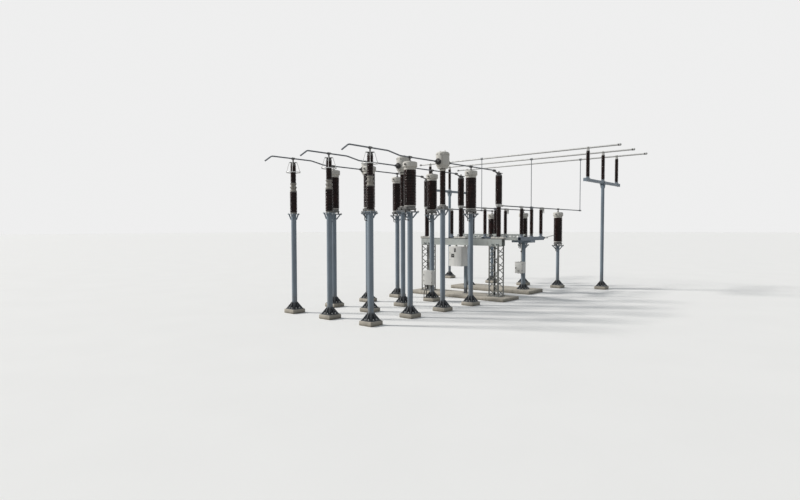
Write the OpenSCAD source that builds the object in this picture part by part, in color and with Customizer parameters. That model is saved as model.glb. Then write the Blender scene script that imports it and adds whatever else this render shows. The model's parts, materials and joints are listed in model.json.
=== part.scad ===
// Switchgear bay of a high-voltage substation. Three phases run side by side along Y.
// Along +X stand the arresters, the line voltage transformers, the current transformers,
// the metering voltage transformers, the circuit breaker, the three-post isolator and the
// busbar voltage transformers, under the tubular busbars on their two masts.
// The origin is the centre of the breaker plinth's underside. +Z is up, sizes are in mm.

/* [Layout] */
// Distance between neighbouring phases
phase_pitch = 1500; // [1480:20:1900]
// Surge arresters to line voltage transformers
arrester_pitch = 1500; // [1300:50:1900]
// Line voltage transformers to current transformers
line_pitch = 1450; // [1250:50:1800]
// Current transformers to metering voltage transformers
ct_pitch = 1450; // [1250:50:1800]
// Metering voltage transformers to breaker
metering_pitch = 1650; // [1400:50:2000]
// Breaker to the isolator's centre posts
isolator_pitch = 2320; // [2080:20:2700]
// Isolator's centre posts to busbar voltage transformers
bus_vt_pitch = 2240; // [2150:10:2600]
// Busbar voltage transformers to busbar masts
mast_pitch = 660; // [550:10:800]
// Distance between neighbouring busbar tubes
tube_pitch = 1500; // [1350:10:1600]
// Near mast, distance outside the near phase
near_mast_gap = 1500; // [1200:50:2000]
// Far mast, distance outside the far phase
far_mast_gap = 2730; // [2000:50:3200]

/* [Levels] */
// Breaker plinth height
breaker_plinth_h = 100; // [80:5:140]
// Lattice legs of the breaker
breaker_leg_h = 1680; // [1400:20:2000]
// Height of the busbar tubes' axes above the plinths' undersides
busbar_level = 5270; // [5100:10:5600]

/* [Plinths] */
// Height of the single column plinths
plinth_h = 110; // [80:5:200]
// Reach of the single column plinths past the base plates
plinth_reach = 35; // [30:5:100]
// Breaker plinth, size along the bay
breaker_plinth_l = 1050; // [900:10:1400]
// Breaker plinth, reach past the outer phases
breaker_plinth_reach = 480; // [400:10:600]
// Isolator plinth, size along the bay
isolator_plinth_l = 1100; // [700:10:1300]
// Isolator plinth, reach past its columns
isolator_plinth_reach = 520; // [400:10:700]
// Isolator plinth, height
isolator_plinth_h = 120; // [80:5:200]

/* [Columns] */
// Outer diameter of the instrument columns
column_d = 145; // [120:5:180]
// Outer diameter of the busbar voltage transformer columns and the masts
slim_column_d = 125; // [100:5:160]
// Side of the columns' base plates
base_plate_w = 350; // [300:5:370]
// Thickness of the base plates
base_plate_t = 20; // [12:1:30]
// Height of the gussets on the base plates
gusset_h = 180; // [120:5:220]
// Thickness of the gussets and struts
gusset_t = 12; // [8:1:16]
// Thickness of the columns' head plates
head_plate_t = 16; // [10:1:24]
// Height of the struts under the head plates
strut_h = 150; // [100:5:220]
// Side of the busbar masts' head plates
mast_head_w = 180; // [160:5:220]

/* [Porcelain] */
// Height between two sheds
shed_pitch = 50; // [45:1:70]
// Voltage transformer porcelain, height
vt_porcelain_h = 970; // [900:10:1050]
// Voltage transformer porcelain, diameter over the sheds
vt_shed_d = 330; // [300:5:340]
// Voltage transformer porcelain, core diameter
vt_core_d = 250; // [230:5:260]
// Current transformer porcelain, height
ct_porcelain_h = 990; // [900:10:1050]
// Current transformer porcelain, diameter over the sheds
ct_shed_d = 165; // [150:5:200]
// Current transformer porcelain, core diameter
ct_core_d = 115; // [100:1:130]
// Arrester lower porcelain, height
arrester_lower_h = 590; // [500:10:620]
// Arrester upper porcelain, height
arrester_upper_h = 510; // [450:10:560]
// Arrester lower porcelain, diameter over the sheds
arrester_lower_d = 200; // [180:5:220]
// Arrester upper porcelain, diameter over the sheds
arrester_upper_d = 155; // [140:5:170]
// Breaker support porcelain, height
support_porcelain_h = 1000; // [900:10:1100]
// Breaker support porcelain, diameter over the sheds
support_shed_d = 160; // [150:5:190]
// Breaker interrupter porcelain, height
interrupter_h = 940; // [880:10:1000]
// Breaker interrupter porcelain, diameter over the sheds
interrupter_shed_d = 225; // [200:5:240]
// Isolator post porcelain, height
post_porcelain_h = 910; // [850:10:960]
// Isolator and busbar post porcelain, diameter over the sheds
post_shed_d = 135; // [120:5:170]
// Depth of the sheds on the slim porcelains
shed_depth = 28; // [20:1:32]
// Busbar post porcelain, height
bus_porcelain_h = 940; // [880:10:1000]

/* [Transformer tanks and heads] */
// Side of the voltage transformers' base flanges
vt_tank_w = 350; // [330:5:400]
// Height of the voltage transformers' base tanks with their feet
vt_tank_h = 150; // [130:5:180]
// Height of the feet under the tanks
vt_foot_h = 36; // [28:1:44]
// Diameter of the voltage transformers' expansion caps
vt_cap_d = 385; // [350:5:400]
// Height of the voltage transformers' expansion caps
vt_cap_h = 200; // [180:5:230]
// Height of the terminal axis above the caps
vt_terminal_rise = 120; // [100:5:160]
// Side of the current transformers' base plates
ct_base_w = 300; // [280:5:340]
// Height of the current transformers' bases
ct_base_h = 120; // [100:5:160]
// Diameter of the current transformers' heads
ct_head_d = 380; // [350:5:400]
// Height of the current transformers' heads
ct_head_h = 520; // [480:5:560]
// Height of the primary terminals above the heads' undersides
ct_terminal_h = 230; // [200:5:260]
// Diameter of the primary terminal drum
drum_d = 155; // [140:5:170]
// Reach of the primary terminal drum past the head
drum_l = 60; // [50:5:90]

/* [Arresters] */
// Side of the arresters' head plates
arrester_head_w = 240; // [220:5:300]
// Height of the flange between the two arrester units
arrester_flange_h = 230; // [200:5:240]
// Diameter of the flanges
arrester_flange_d = 190; // [180:5:200]
// Diameter of the grading ring over its tube
ring_d = 400; // [360:10:440]
// Diameter of the grading ring's tube
ring_tube_d = 22; // [18:1:28]
// Drop of the grading ring below the top flange
ring_drop = 275; // [220:5:300]

/* [Breaker] */
// Side of the lattice legs
leg_w = 370; // [340:5:400]
// Distance of the lattice legs inside the outer phases
leg_inset = 80; // [40:5:140]
// Bays of bracing in one lattice leg
leg_bays = 7; // [5:1:9]
// Angle iron of the lattice legs, flange width
leg_angle_w = 50; // [40:2:60]
// Angle iron of the lattice legs, thickness
leg_angle_t = 6; // [5:1:8]
// Bracing bar, width
brace_w = 28; // [20:1:35]
// Beam depth
beam_h = 220; // [200:5:240]
// Beam width
beam_w = 220; // [200:5:260]
// Beam overhang past the outer phases
beam_overhang = 180; // [140:10:260]
// Wall of the beam's folded plate
beam_t = 8; // [6:1:12]
// Height of the crank housings under the poles
housing_h = 70; // [60:5:90]
// Length of the pale covers at the poles' feet, along the beam
pole_cover_l = 480; // [400:10:560]
// Height of the covers' tops above the beam
pole_cover_h = 84; // [80:2:100]
// Height of the terminal flange between the porcelains
mid_flange_h = 80; // [70:5:100]
// Drive cabinet, size along the beam
cabinet_w = 540; // [480:10:600]
// Drive cabinet, size along the bay
cabinet_d = 340; // [300:10:380]
// Drive cabinet, height
cabinet_h = 670; // [600:10:740]
// Wall thickness of the sheet-metal cabinets
cabinet_t = 4; // [3:0.5:6]
// Thickness of the cabinet doors
door_t = 20; // [16:1:26]

/* [Junction box] */
// Width of the junction box
box_w = 370; // [320:10:420]
// Depth of the junction box
box_d = 160; // [140:5:180]
// Height of the junction box
box_h = 450; // [400:10:500]
// Height of its underside above the plinths' undersides
box_z = 545; // [480:5:700]

/* [Isolator] */
// Distance between the outer and the centre posts
post_pitch = 750; // [680:10:760]
// Distance of the isolator columns from the bay's centre line
isolator_column_inset = 320; // [250:10:400]
// Outer diameter of the isolator columns
isolator_column_d = 160; // [140:5:180]
// Pole frame, height
frame_h = 130; // [120:5:150]
// Pole frame, width
frame_w = 120; // [110:5:140]
// Pole frame, reach past the outer posts
frame_reach = 150; // [130:5:160]
// Cross beam, height
cross_beam_h = 230; // [210:5:250]
// Cross beam, distance of its web from the isolator's centre line
cross_beam_reach = 350; // [345:5:450]
// Ganging lever, distance from the post's axis to its pin
lever_r = 200; // [180:5:220]
// Earthing blade, length from its shaft
earth_blade_l = 980; // [900:10:1000]
// Drive box, height
drive_box_h = 400; // [350:10:450]
// Drive box, height of its underside above the plinths' undersides
drive_box_z = 730; // [600:10:900]

/* [Cable conduits] */
// Diameter of the conduits under the transformers' terminal boxes
conduit_d = 22; // [16:1:28]
// Drop of the conduits' loops below the column heads
conduit_drop = 210; // [180:5:260]
// Radius of the conduits' bends
conduit_bend_r = 80; // [60:5:100]
// Diameter of the hoses under the junction box
hose_d = 26; // [20:1:28]

/* [Conductors] */
// Diameter of the bay's tubular conductors
conductor_d = 38; // [30:1:44]
// Diameter of the busbar tubes
busbar_d = 62; // [50:2:80]
// Diameter of the vertical droppers
dropper_d = 28; // [24:1:32]
// Rise of the conductor over the arresters above the other equipment
arrester_rise = 80; // [60:5:110]
// Reach of the conductor past the arresters, to its bend
arrester_lead = 710; // [500:10:900]
// Reach of the busbar tubes past the near mast
tube_near_reach = 1130; // [300:10:1400]
// Reach of the busbar tubes past the far mast
tube_far_reach = 570; // [300:10:1400]

/* [Hidden] */
$fn = 48;

// Clearance round tubes and pins that sit in a bore
fit_gap = 0.3;
// Free gap round moving contacts
free_gap = 6;
// Step that lets one cut run past a face
cut = 1;

// Paint and glaze
steel_paint = [0.52, 0.56, 0.62];
porcelain_glaze = [0.16, 0.09, 0.08];
pale_paint = [0.82, 0.80, 0.76];
dark_metal = [0.30, 0.30, 0.31];
light_alloy = [0.70, 0.71, 0.72];
cabinet_paint = [0.92, 0.92, 0.90];
beam_paint = [0.70, 0.73, 0.70];
concrete = [0.72, 0.68, 0.60];

// Rows along the bay
metering_x = -metering_pitch;
ct_x = metering_x - ct_pitch;
line_x = ct_x - line_pitch;
arrester_x = line_x - arrester_pitch;
isolator_x = isolator_pitch;
bus_vt_x = isolator_x + bus_vt_pitch;
mast_x = bus_vt_x + mast_pitch;

// Phases, masts and busbar tubes
phases = [-phase_pitch, 0, phase_pitch];
near_mast_y = -phase_pitch - near_mast_gap;
far_mast_y = phase_pitch + far_mast_gap;
tube_offsets = [-tube_pitch, 0, tube_pitch];
tube_near_y = near_mast_y - tube_near_reach;
tube_far_y = far_mast_y + tube_far_reach;

// Breaker stack, from the plinth up, which sets both conductor levels
beam_z = breaker_plinth_h + breaker_leg_h;
support_z = beam_z + beam_h + housing_h;
mid_z = support_z + support_porcelain_h;
lower_level = mid_z + mid_flange_h / 2;
interrupter_z = mid_z + mid_flange_h;
top_z = interrupter_z + interrupter_h;
top_cap_h = 90;
top_pad_rise = 60;
upper_level = top_z + top_cap_h + top_pad_rise;
top_arm_l = 290;
mid_arm_l = 150;

// Plates and rod of the breaker's drive, under the pole covers
drive_plate_t = 26;
drive_rod_d = 20;

// Clamps round the tubes
clamp_wall = 14;
clamp_l = 90;
clamp_r = conductor_d / 2 + clamp_wall;
bore_r = conductor_d / 2 + fit_gap;
bus_clamp_l = 70;
bus_clamp_r = busbar_d / 2 + clamp_wall;
bus_bore_r = busbar_d / 2 + fit_gap;
neck_sink = 6;

// Voltage transformers, measured down from their terminal axis
vt_cap_z = vt_terminal_rise + vt_cap_h;
vt_tank_z = vt_cap_z + vt_porcelain_h + vt_tank_h;

// Current transformers, measured down from their terminal axis
ct_head_z = upper_level - ct_terminal_h;
ct_porcelain_z = ct_head_z - ct_porcelain_h;
ct_base_z = ct_porcelain_z - ct_base_h;
ct_reach = ct_head_d / 2 + drum_l;

// Voltage transformer tanks and the terminal boxes on their sides
vt_plate_t = 14;
vt_box_l = 80;
vt_box_w = 120;
vt_box_z = vt_plate_t + vt_foot_h + 8;
vt_box_x = -vt_tank_w / 2 - 30;

// Arresters, measured down from their conductor
arrester_level = upper_level + arrester_rise;
arrester_cap_h = 70;
arrester_terminal_rise = 110;
arrester_base_h = 30;
arrester_cap_r = arrester_flange_d / 2;
arrester_upper_z = arrester_level - arrester_terminal_rise - arrester_cap_h - arrester_upper_h;
arrester_mid_z = arrester_upper_z - arrester_flange_h;
arrester_lower_z = arrester_mid_z - arrester_lower_h;

// Isolator, measured down from the lower conductors
jaw_drop = 30;
post_cap_h = 30;
post_base_h = 90;
post_cap_d = post_shed_d - 30;
post_z = lower_level - jaw_drop - post_cap_h - post_porcelain_h;
frame_z = post_z - post_base_h - frame_h;
frame_top = frame_z + frame_h;
frame_t = 8;
frame_half = post_pitch + frame_reach;
isolator_column_y = phase_pitch - isolator_column_inset;
isolator_head_h = 80;
isolator_head_reach = isolator_column_inset + frame_w / 2;
isolator_head_w = 360;
shaft_room = 40;
cross_beam_w = 100;

// Single column plinths
plinth_w = base_plate_w + 2 * plinth_reach;

// Blade contacts and the jaws that take them
contact_t = 12;
contact_w = 60;
contact_l = 90;
jaw_slot = contact_t + 2 * free_gap;
finger_t = 10;
finger_w = 80;
finger_reach = 70;
jaw_back = 20;
blade_tip = post_pitch - 30;
blade_d = 42;

// Turning parts
turn_gap = 0.3;
bearing_h = 25;
spindle_d = 48;
table_z = frame_top + bearing_h + turn_gap;
lever_angle = 135;
lever_t = 12;
pin_d = 20;
rod_d = 22;
eye_d = 52;
eye_h = rod_d + 6;

// Earthing switch
earth_x = frame_half + 40;
earth_z = frame_top - 50;
earth_shaft_d = 36;
earth_blade_d = 30;
earth_tilt = 5;

// Busbar posts, measured down from the tubes
bus_clamp_h = 70;
bus_cap_h = 40;
bus_foot_h = 60;
bus_foot_d = 130;
crossbar_h = 100;
crossbar_w = 100;
crossbar_reach = 265;
bus_porcelain_top = busbar_level - bus_clamp_h - bus_cap_h;
bus_porcelain_z = bus_porcelain_top - bus_porcelain_h;
crossbar_z = bus_porcelain_z - bus_foot_h - crossbar_h;

// Cabinets: hinges at the low Y corner of the door's outer face
hinge_r = 8;
hinge_pin_r = 4;
knuckle_l = 36;
lug_l = 16;
door_inset = hinge_r + 1;
lip_w = 24;
cabinet_hang = 50;
cabinet_reach = 220;
cabinet_x = -beam_w / 2 - cabinet_reach;
cabinet_z = beam_z - cabinet_hang - cabinet_h;
box_gap = 20;
box_x = metering_x - column_d / 2 - box_gap - box_d;
box_y = -box_w / 2 - 10;

// One porcelain body with rain sheds: flat below, a thick rim and a sloping top
module porcelain(h, core_d, shed_d) {
    n = round(h / shed_pitch);
    p = h / n;
    rc = core_d / 2;
    rs = shed_d / 2;
    color(porcelain_glaze)
    rotate_extrude()
        polygon(concat(
            [[0, 0], [rc, 0]],
            [for (i = [0:n - 1], q = [[rc, 0.10], [rs, 0.16], [rs, 0.46], [rc, 0.86]])
                [q[0], (i + q[1]) * p]],
            [[rc, h], [0, h]]
        ));
}

// Stands the children at each phase of one row
module each_phase(x) {
    for (y = phases) translate([x, y, 0]) children();
}

// Stands the children at one phase
module at_phase(i) {
    translate([0, phases[i], 0]) children();
}

// Plain disc with its underside at z
module disc(z, h, d) {
    translate([0, 0, z]) cylinder(h = h, d = d);
}

// Centred box with its underside at z
module slab(z, size) {
    translate([-size[0] / 2, -size[1] / 2, z]) cube(size);
}

// Cylinder along X, centred on the origin
module bar_x(h, r) {
    rotate([0, 90, 0]) cylinder(h = h, r = r, center = true);
}

// Cylinder along Y, centred on the origin
module bar_y(h, r) {
    rotate([90, 0, 0]) cylinder(h = h, r = r, center = true);
}

// Clamp round a conductor that runs along X, centred on the origin
module conductor_clamp(l = clamp_l) {
    difference() {
        bar_x(l, clamp_r);
        bar_x(l + 2 * cut, bore_r);
    }
}

// Upright plate of thickness gusset_t in the XZ plane, from a profile of points
module rib(points, t = gusset_t) {
    translate([0, t / 2, 0]) rotate([90, 0, 0]) linear_extrude(t) polygon(points);
}

// Four open struts that brace a head plate, set on its diagonals, hung below z
module head_struts(z, d, head_w) {
    root = d / 2 - 4;
    tip = head_w * 0.58;
    bar = 22;
    for (a = [45:90:315]) rotate([0, 0, a]) translate([0, 0, z])
        rib([[root, -strut_h], [root + bar, -strut_h], [tip, -bar * 0.6], [tip, 0], [tip - bar * 1.6, 0],
             [root, -strut_h + bar * 1.6]]);
}

// Round column on a base plate with gussets to its sides and corners, with a square head plate
// on struts
module column(z0, z1, d, head_w) {
    root = d / 2 - 8;
    color(steel_paint)
    union() {
        slab(z0, [base_plate_w, base_plate_w, base_plate_t]);
        disc(z0, z1 - z0, d);
        slab(z1 - head_plate_t, [head_w, head_w, head_plate_t]);
        head_struts(z1 - head_plate_t, d, head_w);
        for (a = [0:45:315]) rotate([0, 0, a]) translate([0, 0, z0 + base_plate_t]) {
            reach = a % 90 == 0 ? base_plate_w / 2 - 12 : base_plate_w / sqrt(2) - 30;
            rib([[root, 0], [reach, 0], [reach, 14], [d / 2 + 6, gusset_h], [root, gusset_h]]);
        }
    }
}

// Block of concrete
module plinth(size) {
    color(concrete) slab(0, size);
}

module column_plinths() {
    for (x = [arrester_x, line_x, ct_x, metering_x, bus_vt_x])
        each_phase(x) plinth([plinth_w, plinth_w, plinth_h]);
    for (y = [near_mast_y, far_mast_y])
        translate([mast_x, y, 0]) plinth([plinth_w, plinth_w, plinth_h]);
}

module breaker_plinth() {
    plinth([breaker_plinth_l, 2 * (phase_pitch + breaker_plinth_reach), breaker_plinth_h]);
}

module isolator_plinth() {
    translate([isolator_x, 0, 0])
        plinth([isolator_plinth_l, 2 * (isolator_column_y + isolator_plinth_reach), isolator_plinth_h]);
}

module arrester_columns() {
    each_phase(arrester_x) column(plinth_h, arrester_lower_z - arrester_base_h, column_d, arrester_head_w);
}

module arrester_lower_units() {
    each_phase(arrester_x)
        color(porcelain_glaze)
        union() {
            disc(arrester_lower_z - arrester_base_h, arrester_base_h, arrester_flange_d);
            translate([0, 0, arrester_lower_z])
                porcelain(arrester_lower_h, arrester_lower_d - 2 * shed_depth, arrester_lower_d);
        }
}

// Two bolted flanges on a waisted casting
module arrester_mid_flanges() {
    r = arrester_flange_d / 2;
    h = arrester_flange_h;
    lip = 24;
    each_phase(arrester_x) translate([0, 0, arrester_mid_z])
        color(pale_paint) rotate_extrude()
            polygon([[0, 0], [r, 0], [r, lip], [r - 18, lip + 10], [r - 18, h / 2 - 12], [r, h / 2 - 10],
                     [r, h / 2 + 10], [r - 24, h / 2 + 12], [r - 24, h - lip - 10], [r - 6, h - lip],
                     [r - 6, h], [0, h]]);
}

module arrester_upper_units() {
    each_phase(arrester_x) translate([0, 0, arrester_upper_z])
        porcelain(arrester_upper_h, arrester_upper_d - 2 * shed_depth, arrester_upper_d);
}

// Waisted top cap with the terminal stem and its clamp
module arrester_caps() {
    r = arrester_cap_r;
    h = arrester_cap_h;
    neck_h = arrester_terminal_rise - clamp_r + neck_sink;
    each_phase(arrester_x)
        color(dark_metal)
        union() {
            translate([0, 0, arrester_upper_z + arrester_upper_h]) rotate_extrude()
                polygon([[0, 0], [r - 24, 0], [r - 24, 26], [r - 40, 40], [r - 40, h - 18], [r, h - 12],
                         [r, h], [30, h], [20, h + 18], [20, h + neck_h], [0, h + neck_h]]);
            translate([0, 0, arrester_level]) conductor_clamp(70);
        }
}

// Ring on four arms that slant out and down from lugs on the cap
module arrester_grading_rings() {
    ring_r = (ring_d - ring_tube_d) / 2;
    lug_start = arrester_cap_r - 45;
    lug_t = 10;
    arm_r = arrester_cap_r + 12;
    arm_run = ring_r - arm_r;
    each_phase(arrester_x) translate([0, 0, arrester_upper_z + arrester_upper_h + arrester_cap_h])
        color(light_alloy)
        union() {
            translate([0, 0, -ring_drop]) rotate_extrude() translate([ring_r, 0]) circle(d = ring_tube_d);
            for (a = [45:90:315]) rotate([0, 0, a]) {
                translate([arm_r, 0, lug_t / 2]) rotate([0, 180 - atan2(arm_run, ring_drop + lug_t / 2), 0])
                    cylinder(h = norm([arm_run, ring_drop + lug_t / 2]), d = 12, $fn = 8);
                translate([lug_start, -8, 0]) cube([arm_r - lug_start + 8, 16, lug_t]);
            }
        }
}

module vt_columns() {
    for (x = [line_x, metering_x])
        each_phase(x) column(plinth_h, upper_level - vt_tank_z, column_d, vt_tank_w - 10);
}

module bus_vt_columns() {
    each_phase(bus_vt_x) column(plinth_h, lower_level - vt_tank_z, slim_column_d, vt_tank_w - 10);
}

// Places the children with their origin on each voltage transformer's terminal axis
module each_vt() {
    for (x = [line_x, metering_x])
        each_phase(x) translate([0, 0, upper_level]) children();
    each_phase(bus_vt_x) translate([0, 0, lower_level]) children();
}

// Round basin on four feet, with the secondary terminal box on its side
module vt_tanks() {
    tank_z = vt_plate_t + vt_foot_h;
    tank_h = vt_tank_h - tank_z;
    r = vt_tank_w / 2;
    foot = (r - 40) * cos(45);
    each_vt() translate([0, 0, -vt_tank_z])
        color([0.62, 0.63, 0.62])
        union() {
            slab(0, [vt_tank_w, vt_tank_w, vt_plate_t]);
            for (x = [-foot, foot], y = [-foot, foot])
                translate([x, y, 0]) disc(0, tank_z + 12, 46);
            translate([0, 0, tank_z]) rotate_extrude()
                polygon([[0, 0], [r - 30, 0], [r - 6, 22], [r - 6, 34], [r - 34, tank_h - 24],
                         [r - 20, tank_h - 18], [r - 20, tank_h], [0, tank_h]]);
            translate([vt_box_x, -vt_box_w / 2, vt_box_z]) cube([vt_box_l, vt_box_w, 66]);
        }
}

module vt_insulators() {
    each_vt() translate([0, 0, -vt_cap_z - vt_porcelain_h])
        porcelain(vt_porcelain_h, vt_core_d, vt_shed_d);
}

// Expansion cap with a pale neck ring and an oil gauge boss
module vt_heads() {
    r = vt_cap_d / 2;
    h = vt_cap_h;
    neck = vt_shed_d / 2 - 4;
    each_vt() translate([0, 0, -vt_cap_z])
        color(pale_paint)
        union() {
            rotate_extrude()
                polygon([[0, 0], [neck, 0], [neck, 40], [r - 6, 58], [r, 66], [r, h - 34],
                         [r - 8, h - 18], [r - 40, h - 4], [60, h], [0, h]]);
            translate([-r + 20, 0, h / 2 + 16]) rotate([0, -90, 0]) cylinder(h = 28, d = 56);
        }
}

// Dark terminal stem on its pad, with the clamp round the conductor
module vt_terminals() {
    each_vt()
        color(dark_metal)
        union() {
            disc(-vt_terminal_rise, 22, 76);
            disc(-vt_terminal_rise, vt_terminal_rise - clamp_r + neck_sink, 36);
            conductor_clamp();
        }
}

module ct_columns() {
    each_phase(ct_x) column(plinth_h, ct_base_z, column_d, ct_base_w - 10);
}

module ct_bases() {
    each_phase(ct_x) translate([0, 0, ct_base_z])
        color([0.62, 0.63, 0.62])
        union() {
            slab(0, [ct_base_w, ct_base_w, 16]);
            slab(0, [ct_base_w - 80, ct_base_w - 80, ct_base_h - 24]);
            disc(ct_base_h - 24, 24, ct_shed_d + 40);
            translate([-ct_base_w / 2, -50, 16]) cube([60, 100, 60]);
        }
}

module ct_insulators() {
    each_phase(ct_x) translate([0, 0, ct_porcelain_z])
        porcelain(ct_porcelain_h, ct_core_d, ct_shed_d);
}

// Bucket-shaped head: neck flange, tapered underside, upright side and a seamed flat lid
module ct_heads() {
    r = ct_head_d / 2;
    neck = ct_shed_d / 2 + 10;
    base_r = r - 45;
    side_z = ct_terminal_h - drum_d / 2 - 12;
    lid_z = ct_head_h - 70;
    lid_r = r - 10;
    each_phase(ct_x)
        color(pale_paint)
        translate([0, 0, ct_head_z]) rotate_extrude()
            polygon([[0, 0], [neck, 0], [neck, 24], [neck - 12, 28], [neck - 12, 46], [base_r, 50],
                     [base_r, 64], [r - 8, side_z - 12], [r, side_z], [r, lid_z - 24], [r - 6, lid_z - 8],
                     [r, lid_z - 4], [r, lid_z + 8], [lid_r, lid_z + 12], [lid_r - 6, ct_head_h - 22],
                     [lid_r - 30, ct_head_h - 6], [lid_r - 60, ct_head_h], [0, ct_head_h]]);
}

// Dark primary terminals: a drum saddled on the head and a socket for the conductor
module ct_terminals() {
    saddle = ct_head_d / 2 - 80;
    each_phase(ct_x)
        translate([0, 0, upper_level])
        color(dark_metal)
        for (side = [0, 180]) rotate([0, 0, side])
            difference() {
                union() {
                    translate([saddle, 0, 0]) rotate([0, 90, 0])
                        cylinder(h = ct_reach - saddle - 16, d = drum_d);
                    translate([saddle, 0, 0]) rotate([0, 90, 0])
                        cylinder(h = ct_reach - saddle, d = drum_d - 30);
                    translate([ct_reach - cut, 0, 0]) rotate([0, 90, 0])
                        cylinder(h = clamp_l + cut, r = clamp_r);
                }
                cylinder(h = ct_head_h, d = ct_head_d + 2 * fit_gap, center = true);
                translate([ct_reach, 0, 0]) rotate([0, 90, 0])
                    cylinder(h = clamp_l + cut, r = bore_r);
            }
}

// Sheet-metal box from its front low corner: open at the front inside a folded lip
module lipped_box(size) {
    t = cabinet_t;
    difference() {
        cube(size);
        translate([t, t, t]) cube([size[0] - 2 * t, size[1] - 2 * t, size[2] - 2 * t]);
        translate([-cut, lip_w, lip_w]) cube([t + 2 * cut, size[1] - 2 * lip_w, size[2] - 2 * lip_w]);
    }
}

// Heights of the knuckles on a door of height h
function knuckles(h) = [0.14 * h, 0.86 * h - knuckle_l];

// Fixed half of the hinges, joined to the box's side
module hinge_lugs(h) {
    x = -fit_gap - door_t;
    for (z = knuckles(h)) {
        translate([x, 0, z - lug_l - fit_gap]) {
            for (dz = [0, knuckle_l + lug_l + 2 * fit_gap]) translate([0, 0, dz]) {
                cylinder(h = lug_l, r = hinge_r);
                translate([0, -hinge_r, 0]) cube([60, hinge_r, lug_l]);
            }
            cylinder(h = knuckle_l + 2 * (lug_l + fit_gap), r = hinge_pin_r);
        }
    }
}

// Door with its knuckles and two quarter-turn latches, in the box's own frame
module hinged_door(w, h, latches) {
    x = -fit_gap - door_t;
    difference() {
        union() {
            translate([x, door_inset, 0]) cube([door_t, w - door_inset, h]);
            for (z = knuckles(h)) {
                translate([x, 0, z]) cylinder(h = knuckle_l, r = hinge_r);
                translate([x, 0, z]) cube([hinge_r, door_inset + cut, knuckle_l]);
            }
            for (z = latches) translate([x + cut, w - 40, z]) rotate([0, -90, 0]) {
                cylinder(h = 10, d = 36);
                translate([-26, -7, 0]) cube([52, 14, 16]);
            }
        }
        for (z = knuckles(h))
            translate([x, 0, z - cut]) cylinder(h = knuckle_l + 2 * cut, r = hinge_pin_r + fit_gap);
    }
}

// Two bands that hold a box to a round column at the origin, from x = -reach
module column_bands(reach, d, zs) {
    for (z = zs) difference() {
        translate([-reach, -60, z]) cube([reach - d / 2 + 30, 120, 30]);
        translate([0, 0, z - cut]) cylinder(h = 30 + 2 * cut, d = d + 2 * fit_gap);
    }
}

// Box on the middle metering transformer's column
module junction_box() {
    color(cabinet_paint)
    union() {
        translate([box_x, box_y, box_z]) {
            lipped_box([box_d, box_w, box_h]);
            hinge_lugs(box_h);
        }
        translate([metering_x, 0, 0])
            column_bands(column_d / 2 + box_gap, column_d, [box_z + 90, box_z + box_h - 120]);
    }
}

module junction_box_door() {
    color(cabinet_paint)
    translate([box_x, box_y, box_z])
        hinged_door(box_w, box_h, [0.3 * box_h, 0.72 * box_h]);
}

// Conduit from (x0, z0) straight down and round a bend into a column's side at x1, in the XZ plane
module looped_conduit(x0, z0, x1) {
    r = conduit_bend_r;
    bent_tube(concat(
        [[x0, z0]],
        [for (a = [0:22.5:90]) [x0 + r * (1 - cos(a)), -conduit_drop + r * (1 - sin(a))]],
        [[x1, -conduit_drop]]), conduit_d, 8);
}

// Hose that hangs in an S from y0 under the junction box to y1 on the plinth
module box_hose(y0, y1) {
    steps = 6;
    straight = 40;
    top = box_z - straight;
    fall = top - plinth_h - straight;
    translate([metering_x - base_plate_w / 2 - plinth_reach / 2, 0, 0]) rotate([0, 0, 90])
        bent_tube(concat(
            [[y0, box_z]],
            [for (i = [0:steps]) let (t = i / steps) [y0 + (y1 - y0) * (3 - 2 * t) * t * t, top - t * fall]],
            [[y1, plinth_h]]), hose_d, 8);
}

// Dark conduits: from each voltage transformer's terminal box and each isolator head beam back
// into the column, and from the junction box to the plinth
module cable_conduits() {
    start_x = vt_box_x + conduit_d / 2 + 4;
    color(dark_metal) {
        for (x = [line_x, metering_x])
            each_phase(x) translate([0, 0, upper_level - vt_tank_z])
                looped_conduit(start_x, vt_box_z, -column_d / 2 - fit_gap);
        each_phase(bus_vt_x) translate([0, 0, lower_level - vt_tank_z])
            looped_conduit(start_x, vt_box_z, -slim_column_d / 2 - fit_gap);
        for (side = [-1, 1])
            translate([isolator_x, side * isolator_column_y, frame_z - isolator_head_h]) rotate([0, 0, -90])
                looped_conduit(-isolator_column_d / 2 - 1.3 * conduit_bend_r, 0,
                               -isolator_column_d / 2 - fit_gap);
        box_hose(-130, -170);
        box_hose(60, 90);
        box_hose(120, 180);
    }
}

// One flat side of a lattice leg: zigzag bracing between two corner angles
module lattice_side() {
    bay = (breaker_leg_h - 80) / leg_bays;
    run = leg_w - 2 * leg_angle_t;
    bar_l = norm([bay, run]);
    for (i = [0:leg_bays - 1])
        translate([0, 0, 40 + (i + 0.5) * bay])
            rotate([0, (i % 2 == 0 ? -1 : 1) * atan2(bay, run), 0])
                cube([bar_l - brace_w, leg_angle_t, brace_w], center = true);
}

module lattice_leg() {
    half = leg_w / 2;
    plate_h = 20;
    color([0.44, 0.46, 0.48])
    translate([0, 0, breaker_plinth_h])
    union() {
        slab(0, [leg_w + 60, leg_w + 60, plate_h]);
        slab(breaker_leg_h - plate_h, [leg_w, leg_w, plate_h]);
        for (a = [0:90:270]) rotate([0, 0, a]) {
            translate([-half, -half, 0])
                linear_extrude(breaker_leg_h)
                    polygon([[0, 0], [leg_angle_w, 0], [leg_angle_w, leg_angle_t],
                             [leg_angle_t, leg_angle_t], [leg_angle_t, leg_angle_w], [0, leg_angle_w]]);
            translate([0, -half + 1.5 * leg_angle_t - cut, 0]) lattice_side();
        }
    }
}

module breaker_legs() {
    for (side = [-1, 1]) translate([0, side * (phase_pitch - leg_inset), 0]) lattice_leg();
}

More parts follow.
